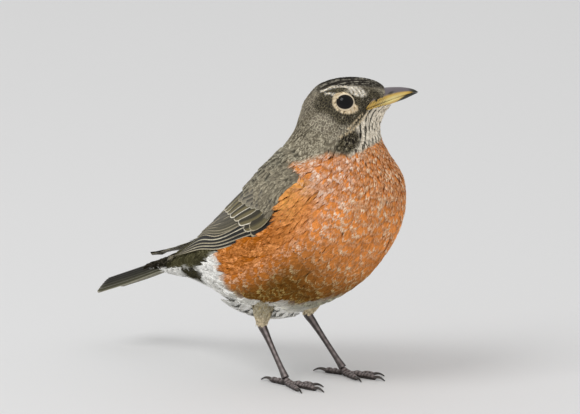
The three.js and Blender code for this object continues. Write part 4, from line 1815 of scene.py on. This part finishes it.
ROWS = (
    Row("primaries", 5, ((2.0, 0.93), (3.3, 0.93), (5.2, 0.83), (7.3, 0.6)),
        ((2.0, 0.7), (3.35, 0.72), (4.3, 0.61), (5.7, 0.28)), (3.8, 4.6), (-1.5, -1.1),
        (Tint.FLIGHT_DARK, Tint.FLIGHT_DARK), Tint.FLIGHT_EDGE, 0.62, PRIMARY, 0.2, 0.75),
    Row("secondaries", 5, ((2.0, 0.71), (3.3, 0.71), (4.3, 0.56), (5.4, 0.2)),
        ((2.0, 0.48), (3.2, 0.5), (4.1, 0.38), (4.95, 0.18)), (4.6, 5.0), (-1.0, -0.8),
        (Tint.FLIGHT, Tint.TERTIAL), Tint.LESSER_EDGE, 0.4, QUILL, 0.2, 0.5),
    Row("tertials", 3, ((2.1, 0.42), (3.4, 0.38), (4.4, 0.28), (5.3, 0.1)),
        ((2.0, 0.28), (2.9, 0.24), (3.6, 0.12), (4.3, -0.02)), (5.4, 6.2), (-0.65, -0.4),
        (Tint.TERTIAL, Tint.TERTIAL), Tint.COVERT_EDGE, 0.5, QUILL, 0.4),
    Row("primary_coverts", 3, ((1.2, 1.07), (1.8, 1.02), (2.45, 0.93)),
        ((1.4, 0.95), (1.9, 0.95), (2.45, 0.89)), (2.4, 2.8), (-0.6, -0.45),
        (Tint.BLACK, Tint.BLACK), Tint.COVERT_EDGE, 0.3, COVERT),
    Row("greater_coverts", 7, ((1.5, 0.8), (2.1, 0.82), (2.66, 0.83)),
        ((2.1, 0.28), (2.95, 0.3), (3.75, 0.33)), (3.9, 4.8), (-0.35, 0.0),
        (Tint.COVERT, Tint.COVERT), Tint.COVERT_TIP, 0.48, COVERT, dark_from=1.3),
    Row("alula", 2, ((1.0, 0.9), (1.7, 0.84), (2.45, 0.84)),
        ((1.15, 0.82), (1.5, 0.79), (1.88, 0.75)), (3.8, 2.4), (-0.1, 0.1),
        (Tint.COVERT, Tint.BLACK), Tint.COVERT_EDGE, 0.4, COVERT),
    Row("median_coverts", 7, ((0.75, 0.84), (1.2, 0.82), (1.7, 0.78)),
        ((1.7, 0.4), (2.3, 0.42), (2.9, 0.42)), (3.6, 4.4), (0.15, 0.35),
        (Tint.LESSER, Tint.LESSER), Tint.MANTLE_EDGE, 0.4, COVERT, dark_from=0.6),
)


@dataclass(frozen=True)
class Stretch:
    """A stretch of a wing with small feathers."""

    name: str
    r_span: Pair
    t_span: Pair
    gap: float  # least distance between roots, in mm
    length: float  # in gaps
    lift: float  # height of the tips over the wing's face, in mm
    base: Tint
    fringe: Tint
    finish: Finish
    seed: int
    width: float = 1.15  # half width, in gaps
    sink: float = 1.0  # how much lower the roots lie, in mm
    reach: float = 0.3  # of the fringe, in mm
    scatter_turn: float = 6.0  # degrees

    def gaps(self, r: Array, _: Array) -> Array:
        """Least distance between roots at places on the wing."""
        return np.full(r.shape, self.gap)


STRETCHES = (
    Stretch("small_coverts", (-0.1, 1.75), (0.25, 0.88), 2.6, 4.2, 0.35,
          Tint.LESSER, Tint.LESSER_EDGE, SHOULDER, 51),
    Stretch("scapulars", (-0.3, 2.1), (-0.1, 0.34), 3.2, 5.0, 0.4,
          Tint.MANTLE, Tint.MANTLE_EDGE, STREAKED, 52),
)


@dataclass
class Wing:
    """One folded wing: its rows of large feathers, and the small ones at its shoulder."""

    side: int
    name: str
    rows: tuple[Row, ...] = ROWS
    stretches: tuple[Stretch, ...] = STRETCHES
    stray: float = 0.006  # how unevenly a row's feathers lie
    left_spread: float = 1.6  # width of the left primaries, whose tips stand apart
    left_fringe: float = 0.5  # share of a fringe's reach that is left on the left wing
    inner_reach: float = 1.2  # mm over which the dark inner part, partly painted shade, fades
    shades: Pair = (0.88, 1.12)  # tones of a row's feathers as shares of its own
    small_shades: Pair = (0.82, 1.18)
    slant: float = 0.9  # how much sooner the small feathers end towards the lower edge
    seed: int = 40

    def build(self) -> list[bpy.types.Object]:
        """Makes the wing's pieces.

        Returns:
            Flight feathers, large coverts, small coverts and scapulars.
        """
        random = np.random.default_rng(self.seed + self.side)
        made_rows = [(row.form is COVERT, self._row(row, random)) for row in self.rows]
        quills, coverts = (Shape.joined([shape for is_covert, shape in made_rows if is_covert == wanted])
                           for wanted in (False, True))
        quill_nodes = (f"wing_{self.name}_secondaries", f"wing_{self.name}_primaries")
        covert_nodes = (f"wing_{self.name}_coverts",)
        made = [self._piece("flight_feathers", quills, FLIGHT, quill_nodes),
                self._piece("large_coverts", coverts, FLIGHT, covert_nodes)]
        return made + [self._piece(stretch.name, self._small(stretch), stretch.finish, covert_nodes)
                       for stretch in self.stretches]

    def _piece(self, kind: str, shape: Shape, finish: Finish, nodes: Sequence[str]) -> bpy.types.Object:
        """One of the wing's pieces."""
        return make_piece(f"{kind}_{self.name}", shape, finish, "wing_feathers", nodes)

    def _home(self, r: Array, t: Array) -> tuple[Array, Array]:
        """Place of a root on the unwrapped body under the wing."""
        return body_home(*WINGS[self.side].place(r, t)[:2])

    def _row(self, row: Row, random: np.random.Generator) -> Shape:
        """Makes one row: places, widths and heights run evenly from its first to its last feather.

        Args:
            row: The row.
            random: Source of the differences between its feathers.

        Returns:
            Its shape.
        """
        LOG.debug("%s: %d feathers", row.name, row.count)
        share = np.linspace(0, 1, row.count)
        ends = np.array([row.first, row.last])
        controls = run_between(ends, share[:, None, None])
        controls = controls + random.normal(0, self.stray, controls.shape)
        lines = Lines.through(WINGS[self.side], controls, row.form.rows)
        width = run_between(row.width, share)
        if self.side == LEFT and row.form is PRIMARY:
            width = width * self.left_spread
        lift = run_between(row.lift, share)
        plumes = Plumes.grown(lines, row.form, width, lift - row.sink, lift, random, -self.side)
        base = mix(*row.base, share)
        base = (base * random.uniform(*self.shades, (row.count, 1)))[:, None, None]
        # The inner web, which lies under the next feather, is darkened: partly its own dark, partly painted
        # shade.
        hidden = smooth(row.dark_from, row.dark_from - self.inner_reach, plumes.across * -self.side)
        base = mix(base, Tint.FLIGHT_DARK, 0.8 * hidden)
        fringe = mix(row.fringe, Tint.COVERT_EDGE, random.uniform(0, 0.8, row.count))
        tip = row.fade * smooth(0.65, 0.95, plumes.along / lines.run[:, -1:, None])
        fringe = mix(fringe[:, None, None] + 0 * base, Tint.FLIGHT, tip)
        reach = np.full(row.count, row.reach * (1.0 if self.side == RIGHT else self.left_fringe))
        return plumes.shape(base, fringe, reach, random, self._home)

    def _small(self, stretch: Stretch) -> Shape:
        """Small feathers spread over a stretch of the wing, fewer of them towards its lower edge.

        Args:
            stretch: The stretch and its feathers.

        Returns:
            Their shape.
        """
        bed, random = WINGS[self.side], np.random.default_rng(stretch.seed)
        r, t = scatter(bed, stretch.r_span, stretch.t_span, stretch.gaps, stretch.seed)
        keep = r < stretch.r_span[1] - self.slant * np.maximum(t - 0.3, 0)
        r, t = r[keep], t[keep]
        turn = np.radians(random.normal(0, stretch.scatter_turn, len(r)))
        size = random.uniform(*UNLIKE, len(r)) * stretch.gap
        lines = Lines.marched(bed, r, t, turn, size * stretch.length, LOOSE.rows)
        root = stretch.lift - stretch.sink
        plumes = Plumes.grown(lines, LOOSE, size * stretch.width, root, stretch.lift, random)
        tone = linear(stretch.base) * random.uniform(*self.small_shades, (len(r), 1))
        edge = np.ones((len(r), 1)) * linear(stretch.fringe)
        return plumes.shape(tone, edge, np.full(len(r), stretch.reach), random, self._home)


# --- tail


@dataclass
class Tail:
    """Twelve tail feathers, the middle pair on top."""

    pairs: int = 6
    half_width: float = 4.4
    root: float = 0.12
    tip: float = 1.02
    spread: float = 0.86  # of the outermost feather's middle line across the tail
    middle: float = 0.07  # of the innermost feather's
    fan: tuple[float, ...] = (0.75, 0.9, 1.0, 1.0)  # share of that way at places from root to tip
    top: float = 0.45  # height of the middle pair over the tail's face, in mm
    step_down: float = 0.3  # each pair lies this much under the one inside it
    overlap: float = 0.08  # a left feather lies this much under its right one
    corner: float = 0.03  # the outer feathers are longer by this share
    seed: int = 60
    form: VaneForm = VaneForm(rows=22, columns=11, neck=0.6, shoulder=0.3, blunt=0.55, taper=0.1,
                              teeth=0.15, camber=0.3, outer_web=0.6, inner_rim=6.0, ridge=0.14,
                              spread=0.0, blend=0.2)

    def build(self) -> bpy.types.Object:
        """Makes the tail.

        Returns:
            The piece.
        """
        bed, random = TailBed(), np.random.default_rng(self.seed)
        share = np.repeat(np.arange(self.pairs) / (self.pairs - 1), 2)
        side = np.tile([-1.0, 1.0], self.pairs)
        across = side * (self.middle + (self.spread - self.middle) * share)
        end = self.tip + self.corner * share**2 * (1 + 0.3 * side)
        a = self.root + (end - self.root)[:, None] * np.linspace(0, 1, len(self.fan))
        b = across[:, None] * np.array(self.fan)
        lines = Lines.through(bed, np.stack([a, b], axis=-1), self.form.rows)
        lift = self.top - self.step_down * share * (self.pairs - 1) - self.overlap * (side > 0)
        width = np.full(len(share), self.half_width)
        plumes = Plumes.grown(lines, self.form, width, lift, lift, random, -side)
        base = mix(Tint.TAIL, Tint.TAIL_PALE, share**3)
        fringe = mix(Tint.VENT_DARK, Tint.WHITE_GREY, share**4)
        shape = plumes.shape(base, fringe, np.full(len(share), 0.5), random, self._home)
        return make_piece("tail_feathers", shape, FLIGHT, "tail_feathers", ("tail",))

    @staticmethod
    def _home(_: Array, b: Array) -> tuple[Array, Array]:
        """Place of a root on the baking map: side by side in one row."""
        return on_map((b + 1) / 2, 0.1), np.full(b.shape, 0.1)


# --- bill and eyes


@dataclass
class Bill:
    """The closed bill: two mandibles that meet along a line, with a nostril on each side."""

    ridge: Pairs = ((44, 152), (47.4, 152.7), (51.2, 153), (55.9, 153), (60.2, 152.4), (62.7, 151.6),
                    (64.1, 150.7))
    line: Pairs = ((37.6, 143.3), (43.5, 145), (47.5, 146.2), (52.4, 147.7), (57, 149.1), (60.5, 150),
                   (64.1, 150.3))
    under: Pairs = ((39, 141.6), (44.5, 142.9), (49.3, 144.1), (53, 145.3), (57.2, 146.8), (60.2, 148.2),
                    (62.8, 149.5))
    half_width: tuple[float, ...] = (9.6, 6.5, 4.6, 3.1, 2.2, 1.4, 0.45)
    gap: float = 0.3
    rings: int = 90
    corners: int = 28
    nostril: Pair = (50.6, 150.6)
    nostril_depth: float = 0.5
    powers: Pair = (0.8, 0.7)  # of the sine, above and below
    yellow: str = "#d9b04a"
    # The pale of a painted highlight along the yellow.
    pale: str = "#efdf9a"
    slate: str = "#6a6266"
    tip: str = "#242518"

    def build(self) -> list[bpy.types.Object]:
        """Makes both mandibles."""
        return [make_piece(f"bill_{name}_horn", self._mandible(np.array(edge, float), way), HORN, "bill",
                           (f"bill_{name}",))
                for name, edge, way in (("upper", self.ridge, 1), ("lower", self.under, -1))]

    def _mandible(self, edge: Array, way: int) -> Shape:
        """One mandible: half rings from the middle line to its ridge.

        Across a ring the width goes as a cosine. The way to the ridge goes as a sine to a power
        under one, which makes the sides steep. The floor of each ring is flat.

        Args:
            edge: The ridge in the side view, from gape to tip.
            way: 1 for the upper mandible, -1 for the lower one.

        Returns:
            Its shape.
        """
        place = np.linspace(0, len(edge) - 1, self.rings)
        rim, middle = spline(edge, place), spline(np.array(self.line, float), place)
        middle = middle + np.array([0.0, way * self.gap / 2])
        half = spline(np.array(self.half_width)[:, None], place)
        turn = np.linspace(np.pi, 0, self.corners)[None, :]
        if way < 0:
            turn = turn[:, ::-1]
        away = np.sin(turn) ** self.powers[way < 0]
        x = middle[:, :1] + (rim - middle)[:, :1] * away
        z = middle[:, 1:] + (rim - middle)[:, 1:] * away
        y = half * np.cos(turn) * (1 - 0.1 * away**2)
        hole = oval(x, z, self.nostril, (1.5, 0.55), 14, 0.4) if way > 0 else np.zeros(x.shape)
        y = y - np.sign(y) * self.nostril_depth * hole
        # A painted highlight: a pale streak along the yellow, by the line where the mandibles meet.
        yellow = mix(self.yellow, self.pale, oval(x, z, (51, 147.5), (6, 1.3), 18, 0.8))
        if way > 0:
            dark = smooth(0.42, 0.62, away - 0.01 * (x - 50))
            colour = mix(yellow, self.slate, dark)
            # The nostril's dent is painted dark: painted shade in its hollow.
            colour = mix(colour, self.tip, 0.8 * hole)
        else:
            colour = mix(yellow, self.tip, smooth(56.0, 58.4, x + 4.8 * away))
        colour = mix(colour, self.tip, smooth(59.4, 62.6, x + 1.0 * away))
        specks = smooth(-0.1, 0.3, ripple(x * 4, z * 5, 4)) * smooth(49, 46, x) * smooth(0.6, 0.3, away)
        colour = mix(colour, self.tip, 0.75 * specks)
        return painted_tube(turn_head(np.stack([x, y, z], axis=-1)), colour)


@dataclass
class Eyes:
    """Both eyes: a wet ball with a dark iris, and the lids that frame it."""

    opening: Pair = (4.5, 3.95)
    outward: tuple[float, float, float] = (0.044, 0.944, 0.326)  # left eye, before the head turns
    lid: Pair = (0.3, 0.85)  # half thickness and half width
    pupil: float = 2.5
    set_back: float = 0.4  # from the solid's middle, in mm
    set_down: float = 0.65
    proud: float = 0.05  # height of the lids' middle over the ball, in mm
    rings: int = 64
    steps: int = 40
    pole: float = 0.02  # angle that the ball's end fans take up
    lid_corners: int = 12
    pupil_black: str = "#050404"
    iris: str = "#120c08"
    rim: str = "#1d1916"

    def build(self) -> list[bpy.types.Object]:
        """Makes the balls and the lids.

        Returns:
            The pieces, right eye first.
        """
        made = []
        for side, name in ((RIGHT, "right"), (LEFT, "left")):
            ball, lids = self._ball(side), self._lids(side)
            made.append(make_piece(f"eyeball_{name}", ball, CORNEA, "eye", (f"eye_{name}",)))
            made.append(make_piece(f"eyelids_{name}", lids, SCALES, "head_feathers"))
        return made

    def _axes(self, side: int) -> tuple[Array, Array, Array, Array]:
        """Where an eye is and how it is turned, before the head turns.

        Args:
            side: LEFT or RIGHT.

        Returns:
            The ball's middle, and the directions ahead, up and out of the eye.
        """
        mirror = np.array([1, side, 1])
        centre = EYE_CENTRE * mirror - [self.set_back, 0, self.set_down]
        out = unit(self.outward * mirror)
        up = unit(np.array([0.0, 0.0, 1.0]) - out * out[2])
        ahead = np.cross(up, out) * side * -1
        return centre, ahead, up, out

    def _ball(self, side: int) -> Shape:
        """A sphere about the outward axis. The angle off that axis runs from a half turn to 0.

        Args:
            side: LEFT or RIGHT.

        Returns:
            The ball.
        """
        centre, ahead, _, out = self._axes(side)
        down = np.linspace(np.pi - self.pole, self.pole, self.steps)
        off, around = crossed(down, round_circle(self.rings))
        off, around = off[..., None], -side * around[..., None]
        aside = np.cross(out, ahead) * side
        ring = out * np.cos(off) + (ahead * np.cos(around) + aside * np.sin(around) * side) * np.sin(off)
        size = EYE_RADIUS * np.sin(off[..., 0])
        colour = mix(self.pupil_black, self.iris, smooth(self.pupil, self.pupil + 0.5, size))
        return painted_tube(turn_head(centre + EYE_RADIUS * ring), colour)

    def _lids(self, side: int) -> Shape:
        """A soft ring along the opening's ellipse, laid on the ball.

        Args:
            side: LEFT or RIGHT.

        Returns:
            The ring, whose outer edge is pale.
        """
        centre, ahead, up, out = self._axes(side)
        turn = round_circle(self.rings)[:, None]
        flat = ahead * np.cos(turn) * self.opening[0] + up * np.sin(turn) * self.opening[1]
        flat = flat / EYE_RADIUS
        depth = np.sqrt(1 - np.sum(flat**2, axis=-1, keepdims=True))
        ray = flat + out * depth
        path = centre + ray * (EYE_RADIUS + self.proud)
        along = unit(np.roll(path, -1, axis=0) - np.roll(path, 1, axis=0))
        across = np.cross(along, ray)
        across = across * np.sign(np.sum(across * flat, axis=-1, keepdims=True))
        corner = round_circle(self.lid_corners)[None, :, None]
        rings = path[:, None] + self.lid[0] * ray[:, None] * np.cos(corner)
        rings = rings + self.lid[1] * across[:, None] * np.sin(corner)
        outer = np.broadcast_to(smooth(-0.95, -0.6, np.sin(corner[..., 0])), rings.shape[:2])
        colour = mix(self.rim, Tint.CREAM, outer).reshape(-1, 3)
        points = turn_head(rings).reshape(-1, 3)
        faces = grid_faces(self.rings + 1, self.lid_corners, True) % (self.rings * self.lid_corners)
        first = points[faces[0]]
        outwards = first.mean(axis=0) - turn_head(path)[0]
        if np.dot(np.cross(first[1] - first[0], first[2] - first[0]), outwards) < 0:
            faces = faces[:, ::-1]
        return Shape(points, faces, np.zeros(len(faces), bool), {"Tone": colour})


# --- legs


@dataclass(frozen=True)
class Toe:
    """One toe: the angle off the foot's heading towards the body's middle, and its sizes in mm."""

    name: str
    angle: float
    length: float
    radius: float
    claw: float


TOES = (Toe("inner", 27, 14.5, 1.35, 5.0), Toe("middle", 0, 20, 1.45, 5.8),
        Toe("outer", -26, 16, 1.3, 5.0), Toe("hind", 176, 10.5, 1.5, 7.0))


@dataclass
class Leg:
    """A leg: the feathered thigh, the bare shank, the toes and the claws."""

    name: str
    side: int
    knee: tuple[float, float, float]
    heel: tuple[float, float, float]
    foot: tuple[float, float, float]
    heading: float
    thigh_radii: tuple[float, ...] = (11, 8, 5.6, 4.7, 4, 2.7)
    shank_radii: tuple[float, ...] = (1.9, 2.4, 2, 1.65, 1.5, 1.5, 1.6, 2.1)
    thigh_end: float = 0.93  # of the way from knee to heel
    thigh_span: Pair = (0.02, 0.86)  # share of the thigh that has roots
    thigh_turn: float = 9.0  # how unevenly its feathers lie, in degrees
    thigh_gap: Pair = (2.4, 1.2)  # least distance between roots at the top and at the end, in mm
    thigh_length: Pair = (8.5, 4.0)  # of feathers there, in mm
    thigh_width: Pair = (2.3, 1.3)
    thigh_roots: Pair = (-1.2, -0.6)  # heights over the bed
    thigh_tips: Pair = (1.5, 0.1)
    shank_size: tuple[int, int] = (80, 20)  # rings and corners
    toe_size: tuple[int, int] = (90, 16)
    claw_size: tuple[int, int] = (30, 12)
    shank_squash: float = 0.88  # its depth as a share of its width
    claw_squash: float = 1.15
    dark: str = "#261b16"
    # Pale tone of the shank's painted highlight streak, and of the toes' pale scales.
    light: str = "#b4a6a4"
    claw_root: str = "#4b423d"
    claw_tip: str = "#171311"
    seed: int = 70

    def thigh(self) -> TubeBed:
        """The bed of the thigh's feathers."""
        knee, heel = np.array(self.knee), np.array(self.heel)
        return TubeBed(self.knee, tuple(knee + (heel - knee) * self.thigh_end), self.thigh_radii)

    def build(self) -> list[bpy.types.Object]:
        """Makes the leg's pieces.

        Returns:
            The thigh's feathers, the bare leg and the claws.
        """
        bare = Shape.joined([self._shank()] + [self._toe(toe) for toe in TOES])
        claws = Shape.joined([self._claw(toe) for toe in TOES])
        bare_nodes = (f"shank_{self.name}", f"toes_{self.name}")
        claw_nodes = [f"claw_{toe.name}_{self.name}" for toe in TOES]
        return [self._thigh_coat(),
                make_piece(f"leg_{self.name}", bare, SCALES, "legs", bare_nodes),
                make_piece(f"claws_{self.name}", claws, CLAW, "claws", claw_nodes)]

    def _thigh_coat(self) -> bpy.types.Object:
        """Fluffy feathers down the thigh, shorter towards the heel, darker at its top with painted shade
        under the belly.

        Returns:
            The piece.
        """
        seed = self.seed + self.side
        bed, random = self.thigh(), np.random.default_rng(seed)
        a, b = scatter(bed, self.thigh_span, (0, 2 * np.pi), self._gap, seed)
        turn = np.radians(random.normal(0, self.thigh_turn, len(a)))
        length, width, low, high = (run_between(ends, a) for ends in (
            self.thigh_length, self.thigh_width, self.thigh_roots, self.thigh_tips))
        length = length * random.uniform(*UNLIKE, len(a))
        lines = Lines.marched(bed, a, b, turn, length, THIGH_FORM.rows)
        plumes = Plumes.grown(lines, THIGH_FORM, width, low, high, random)
        base = mix(Tint.THIGH, Tint.THIGH_DARK, random.uniform(0, 0.8, len(a)))
        # Darker towards the top of the thigh, where it tucks under the belly: painted shade.
        base = mix(base, Tint.THIGH_DARK, 0.5 * smooth(0.5, 0.25, a))
        fringe = mix(Tint.NECK_EDGE, Tint.CREAM, smooth(0.4, 0.8, a))
        shape = plumes.shape(base, fringe, np.full(len(a), 0.8), random, self._thigh_home)
        return make_piece(f"coat_thigh_{self.name}", shape, DOWN, "thigh_feathers")

    def _gap(self, a: Array, _: Array) -> Array:
        """Least distance between roots down the thigh, in mm."""
        return run_between(self.thigh_gap, a)

    @staticmethod
    def _thigh_home(a: Array, b: Array) -> tuple[Array, Array]:
        """Place of a root on the baking map."""
        return on_map(b / (2 * np.pi), 0.05), on_map(a, 0.05)

    def _shank(self) -> Shape:
        """The bare shank: an oval tube from the heel to the foot, with a painted highlight streak down its
        side.

        Returns:
            Its shape.
        """
        knee, heel, foot = (np.array(p, float) for p in (self.knee, self.heel, self.foot))
        down = np.linspace(0, 0.985, len(self.shank_radii) - 1)[:, None]
        controls = np.vstack([knee + (heel - knee) * self.thigh_span[1], heel + (foot - heel) * down])
        place = np.linspace(0, len(controls) - 1, self.shank_size[0])
        path = spline(controls, place)
        radius = spline(np.array(self.shank_radii)[:, None], place)[:, 0]
        rings = carried(path, radius, self.shank_size[1], self.shank_squash)
        turn = round_circle(self.shank_size[1])[None, :]
        # A painted highlight streak down one side of the shank; the faint stripes round it are its own
        # pattern.
        streak = np.exp(-(((turn - 2.35) / 0.32) ** 2))
        streak = streak + 0.125 * (1 + np.sin(turn * 5 + place[:, None]))
        bands = 0.8 + 0.2 * np.cos(place * 9)[:, None]
        return painted_tube(rings, mix(self.dark, self.light, 0.75 * streak * bands))

    def _along_toe(self, toe: Toe, share: Array, height: Array) -> Array:
        """Places along a toe.

        Args:
            toe: The toe.
            share: Shares of its length from the foot.
            height: Heights over the floor.

        Returns:
            Their points.
        """
        bearing = math.radians(self.heading - toe.angle * self.side)
        run = toe.length * share
        return np.stack([self.foot[0] + math.cos(bearing) * run, self.foot[1] + math.sin(bearing) * run,
                         height], axis=-1)

    def _toe(self, toe: Toe) -> Shape:
        """A toe with pads under its joints and a row of scales over its top, flat on the floor.

        Args:
            toe: Its sizes.

        Returns:
            The toe.
        """
        shares = np.array([0, 0.18, 0.32, 0.46, 0.6, 0.74, 0.9, 1])
        swell = np.array([1.25, 1.1, 0.92, 1.12, 0.9, 1.1, 0.98, 0.7]) * toe.radius
        rows = np.stack([shares, swell, swell * 0.86], axis=-1)
        rows[0, 2] = self.foot[2] - 0.8
        share, radius, height = spline(rows, np.linspace(0, len(rows) - 1, self.toe_size[0])).T
        middle = self._along_toe(toe, share, height)
        rings = carried(middle, radius, self.toe_size[1])
        scales = np.abs(np.sin(share * toe.length * 1.6))[:, None]
        top = smooth(0.0, 0.7, (rings[..., 2] - height[:, None]) / radius[:, None])
        groove = 1 - 0.1 * top * (1 - scales**0.5)
        rings = middle[:, None] + (rings - middle[:, None]) * groove[..., None]
        rings[..., 2] = np.maximum(rings[..., 2], 0)
        rings = np.concatenate([rings, rings[-1:] * 0.5 + 0.5 * rings[-1:].mean(axis=1, keepdims=True)])
        colour = mix(self.dark, self.light, 0.5 * scales * top)
        return painted_tube(rings, np.concatenate([colour, colour[-1:]]))

    def _claw(self, toe: Toe) -> Shape:
        """A claw that arches from the toe's end down to the floor and thins to a point.

        Args:
            toe: The toe that it ends.

        Returns:
            The claw.
        """
        s = np.linspace(0, 1, self.claw_size[0])
        radius = toe.radius * (0.62 - 0.45 * s**1.3)
        arch = 0.52 * toe.claw * s * (1 - s)
        height = 0.8 * (toe.radius * (1 - s) + radius * s) + arch
        share = 0.97 + s * (toe.claw + 0.7) / toe.length
        path = self._along_toe(toe, share, height)
        rings = carried(path, radius, self.claw_size[1], self.claw_squash)
        rings[..., 2] = np.maximum(rings[..., 2], 0)
        return painted_tube(rings, mix(self.claw_root, self.claw_tip, s)[:, None])


LEGS = (
    Leg("right", RIGHT, (-9.5, -16.5, 50), (-13.6, -14.2, 28), (6, -19.4, 3.4), -4),
    Leg("left", LEFT, (1, 16, 50), (-7.4, 15.5, 29.6), (14.2, 17.5, 3.4), 2),
)


# --- studio


@dataclass
class Studio:
    """A pale floor, soft light from above and a camera at the bird's side, a little above it."""

    azimuth: float = 38.0
    elevation: float = 12.0
    distance: float = 9.0
    view_width: float = 0.2944  # metres across the picture at the bird
    aim: Pair = (-5.1, 86.3)  # picture's middle, mm right of and above the bird's origin
    floor_tone: float = 0.8
    sky: float = 0.7
    key: float = 20.0
    key_place: tuple[float, float, float] = (-0.3, -1.6, 2.0)
    key_aim: tuple[float, float, float] = (0.0, 0.0, 0.08)
    key_size: float = 1.2
    floor_reach: float = 12.0

    def build(self) -> None:
        """Makes the floor, the light and the camera."""
        self._floor()
        self._light()
        self._camera()

    def _floor(self) -> None:
        """A wide flat floor that keeps the bird's shadow."""
        mesh = bpy.data.meshes.new("floor")
        square = ((-1, -1), (1, -1), (1, 1), (-1, 1))
        corners = [(x * self.floor_reach, y * self.floor_reach, 0) for x, y in square]
        mesh.from_pydata(corners, [], [(0, 1, 2, 3)])
        material = bpy.data.materials.new("pale_floor")
        material.use_nodes = True
        shader = material.node_tree.nodes["Principled BSDF"]
        shader.inputs["Base Color"].default_value = (self.floor_tone,) * 3 + (1,)
        shader.inputs["Roughness"].default_value = 0.9
        shader.inputs["Specular IOR Level"].default_value = 0.1
        mesh.materials.append(material)
        floor = bpy.data.objects.new("floor", mesh)
        bpy.context.scene.collection.objects.link(floor)

    def _light(self) -> None:
        """An even sky and one large soft lamp above."""
        world = bpy.data.worlds.new("soft_sky")
        world.use_nodes = True
        sky = world.node_tree.nodes["Background"].inputs
        sky["Color"].default_value = (1, 1, 1, 1)
        sky["Strength"].default_value = self.sky
        bpy.context.scene.world = world
        lamp = bpy.data.lights.new("soft_lamp", "AREA")
        lamp.energy, lamp.size = self.key, self.key_size
        holder = bpy.data.objects.new("soft_lamp", lamp)
        holder.location = self.key_place
        way = Vector(self.key_aim) - Vector(self.key_place)
        holder.rotation_euler = way.to_track_quat("-Z", "Y").to_euler()
        bpy.context.scene.collection.objects.link(holder)

    def _camera(self) -> None:
        """A long lens aimed level with the picture's middle."""
        turn, rise = math.radians(self.azimuth), math.radians(self.elevation)
        right = Vector((math.cos(turn), math.sin(turn), 0))
        back = Vector((math.sin(turn) * math.cos(rise), -math.cos(turn) * math.cos(rise), math.sin(rise)))
        up = back.cross(right)
        camera = bpy.data.cameras.new("camera")
        camera.sensor_width = 36.0
        camera.lens = camera.sensor_width * self.distance / self.view_width
        camera.clip_end = 100
        holder = bpy.data.objects.new("camera", camera)
        aim = Vector(SHIFT * MM) + right * (self.aim[0] * MM) + up * (self.aim[1] * MM)
        turned = Matrix((right, up, back)).transposed().to_4x4()
        holder.matrix_world = Matrix.Translation(aim + back * self.distance) @ turned
        bpy.context.scene.collection.objects.link(holder)
        bpy.context.scene.camera = holder
        bpy.context.scene.view_settings.view_transform = "Standard"


def main() -> None:
    """Builds the studio and the bird, piece by piece."""
    logging.basicConfig(level=logging.INFO, format="%(message)s")
    GROUPS.update(vane=vane_group(), grain=grain_group())
    Studio().build()
    thighs = [leg.thigh() for leg in LEGS]
    Skin().build(thighs)
    Coat(thighs).build()
    for side, name in ((RIGHT, "right"), (LEFT, "left")):
        Wing(side, name).build()
    Tail().build()
    Bill().build()
    Eyes().build()
    for leg in LEGS:
        leg.build()


if __name__ == "__main__":
    main()
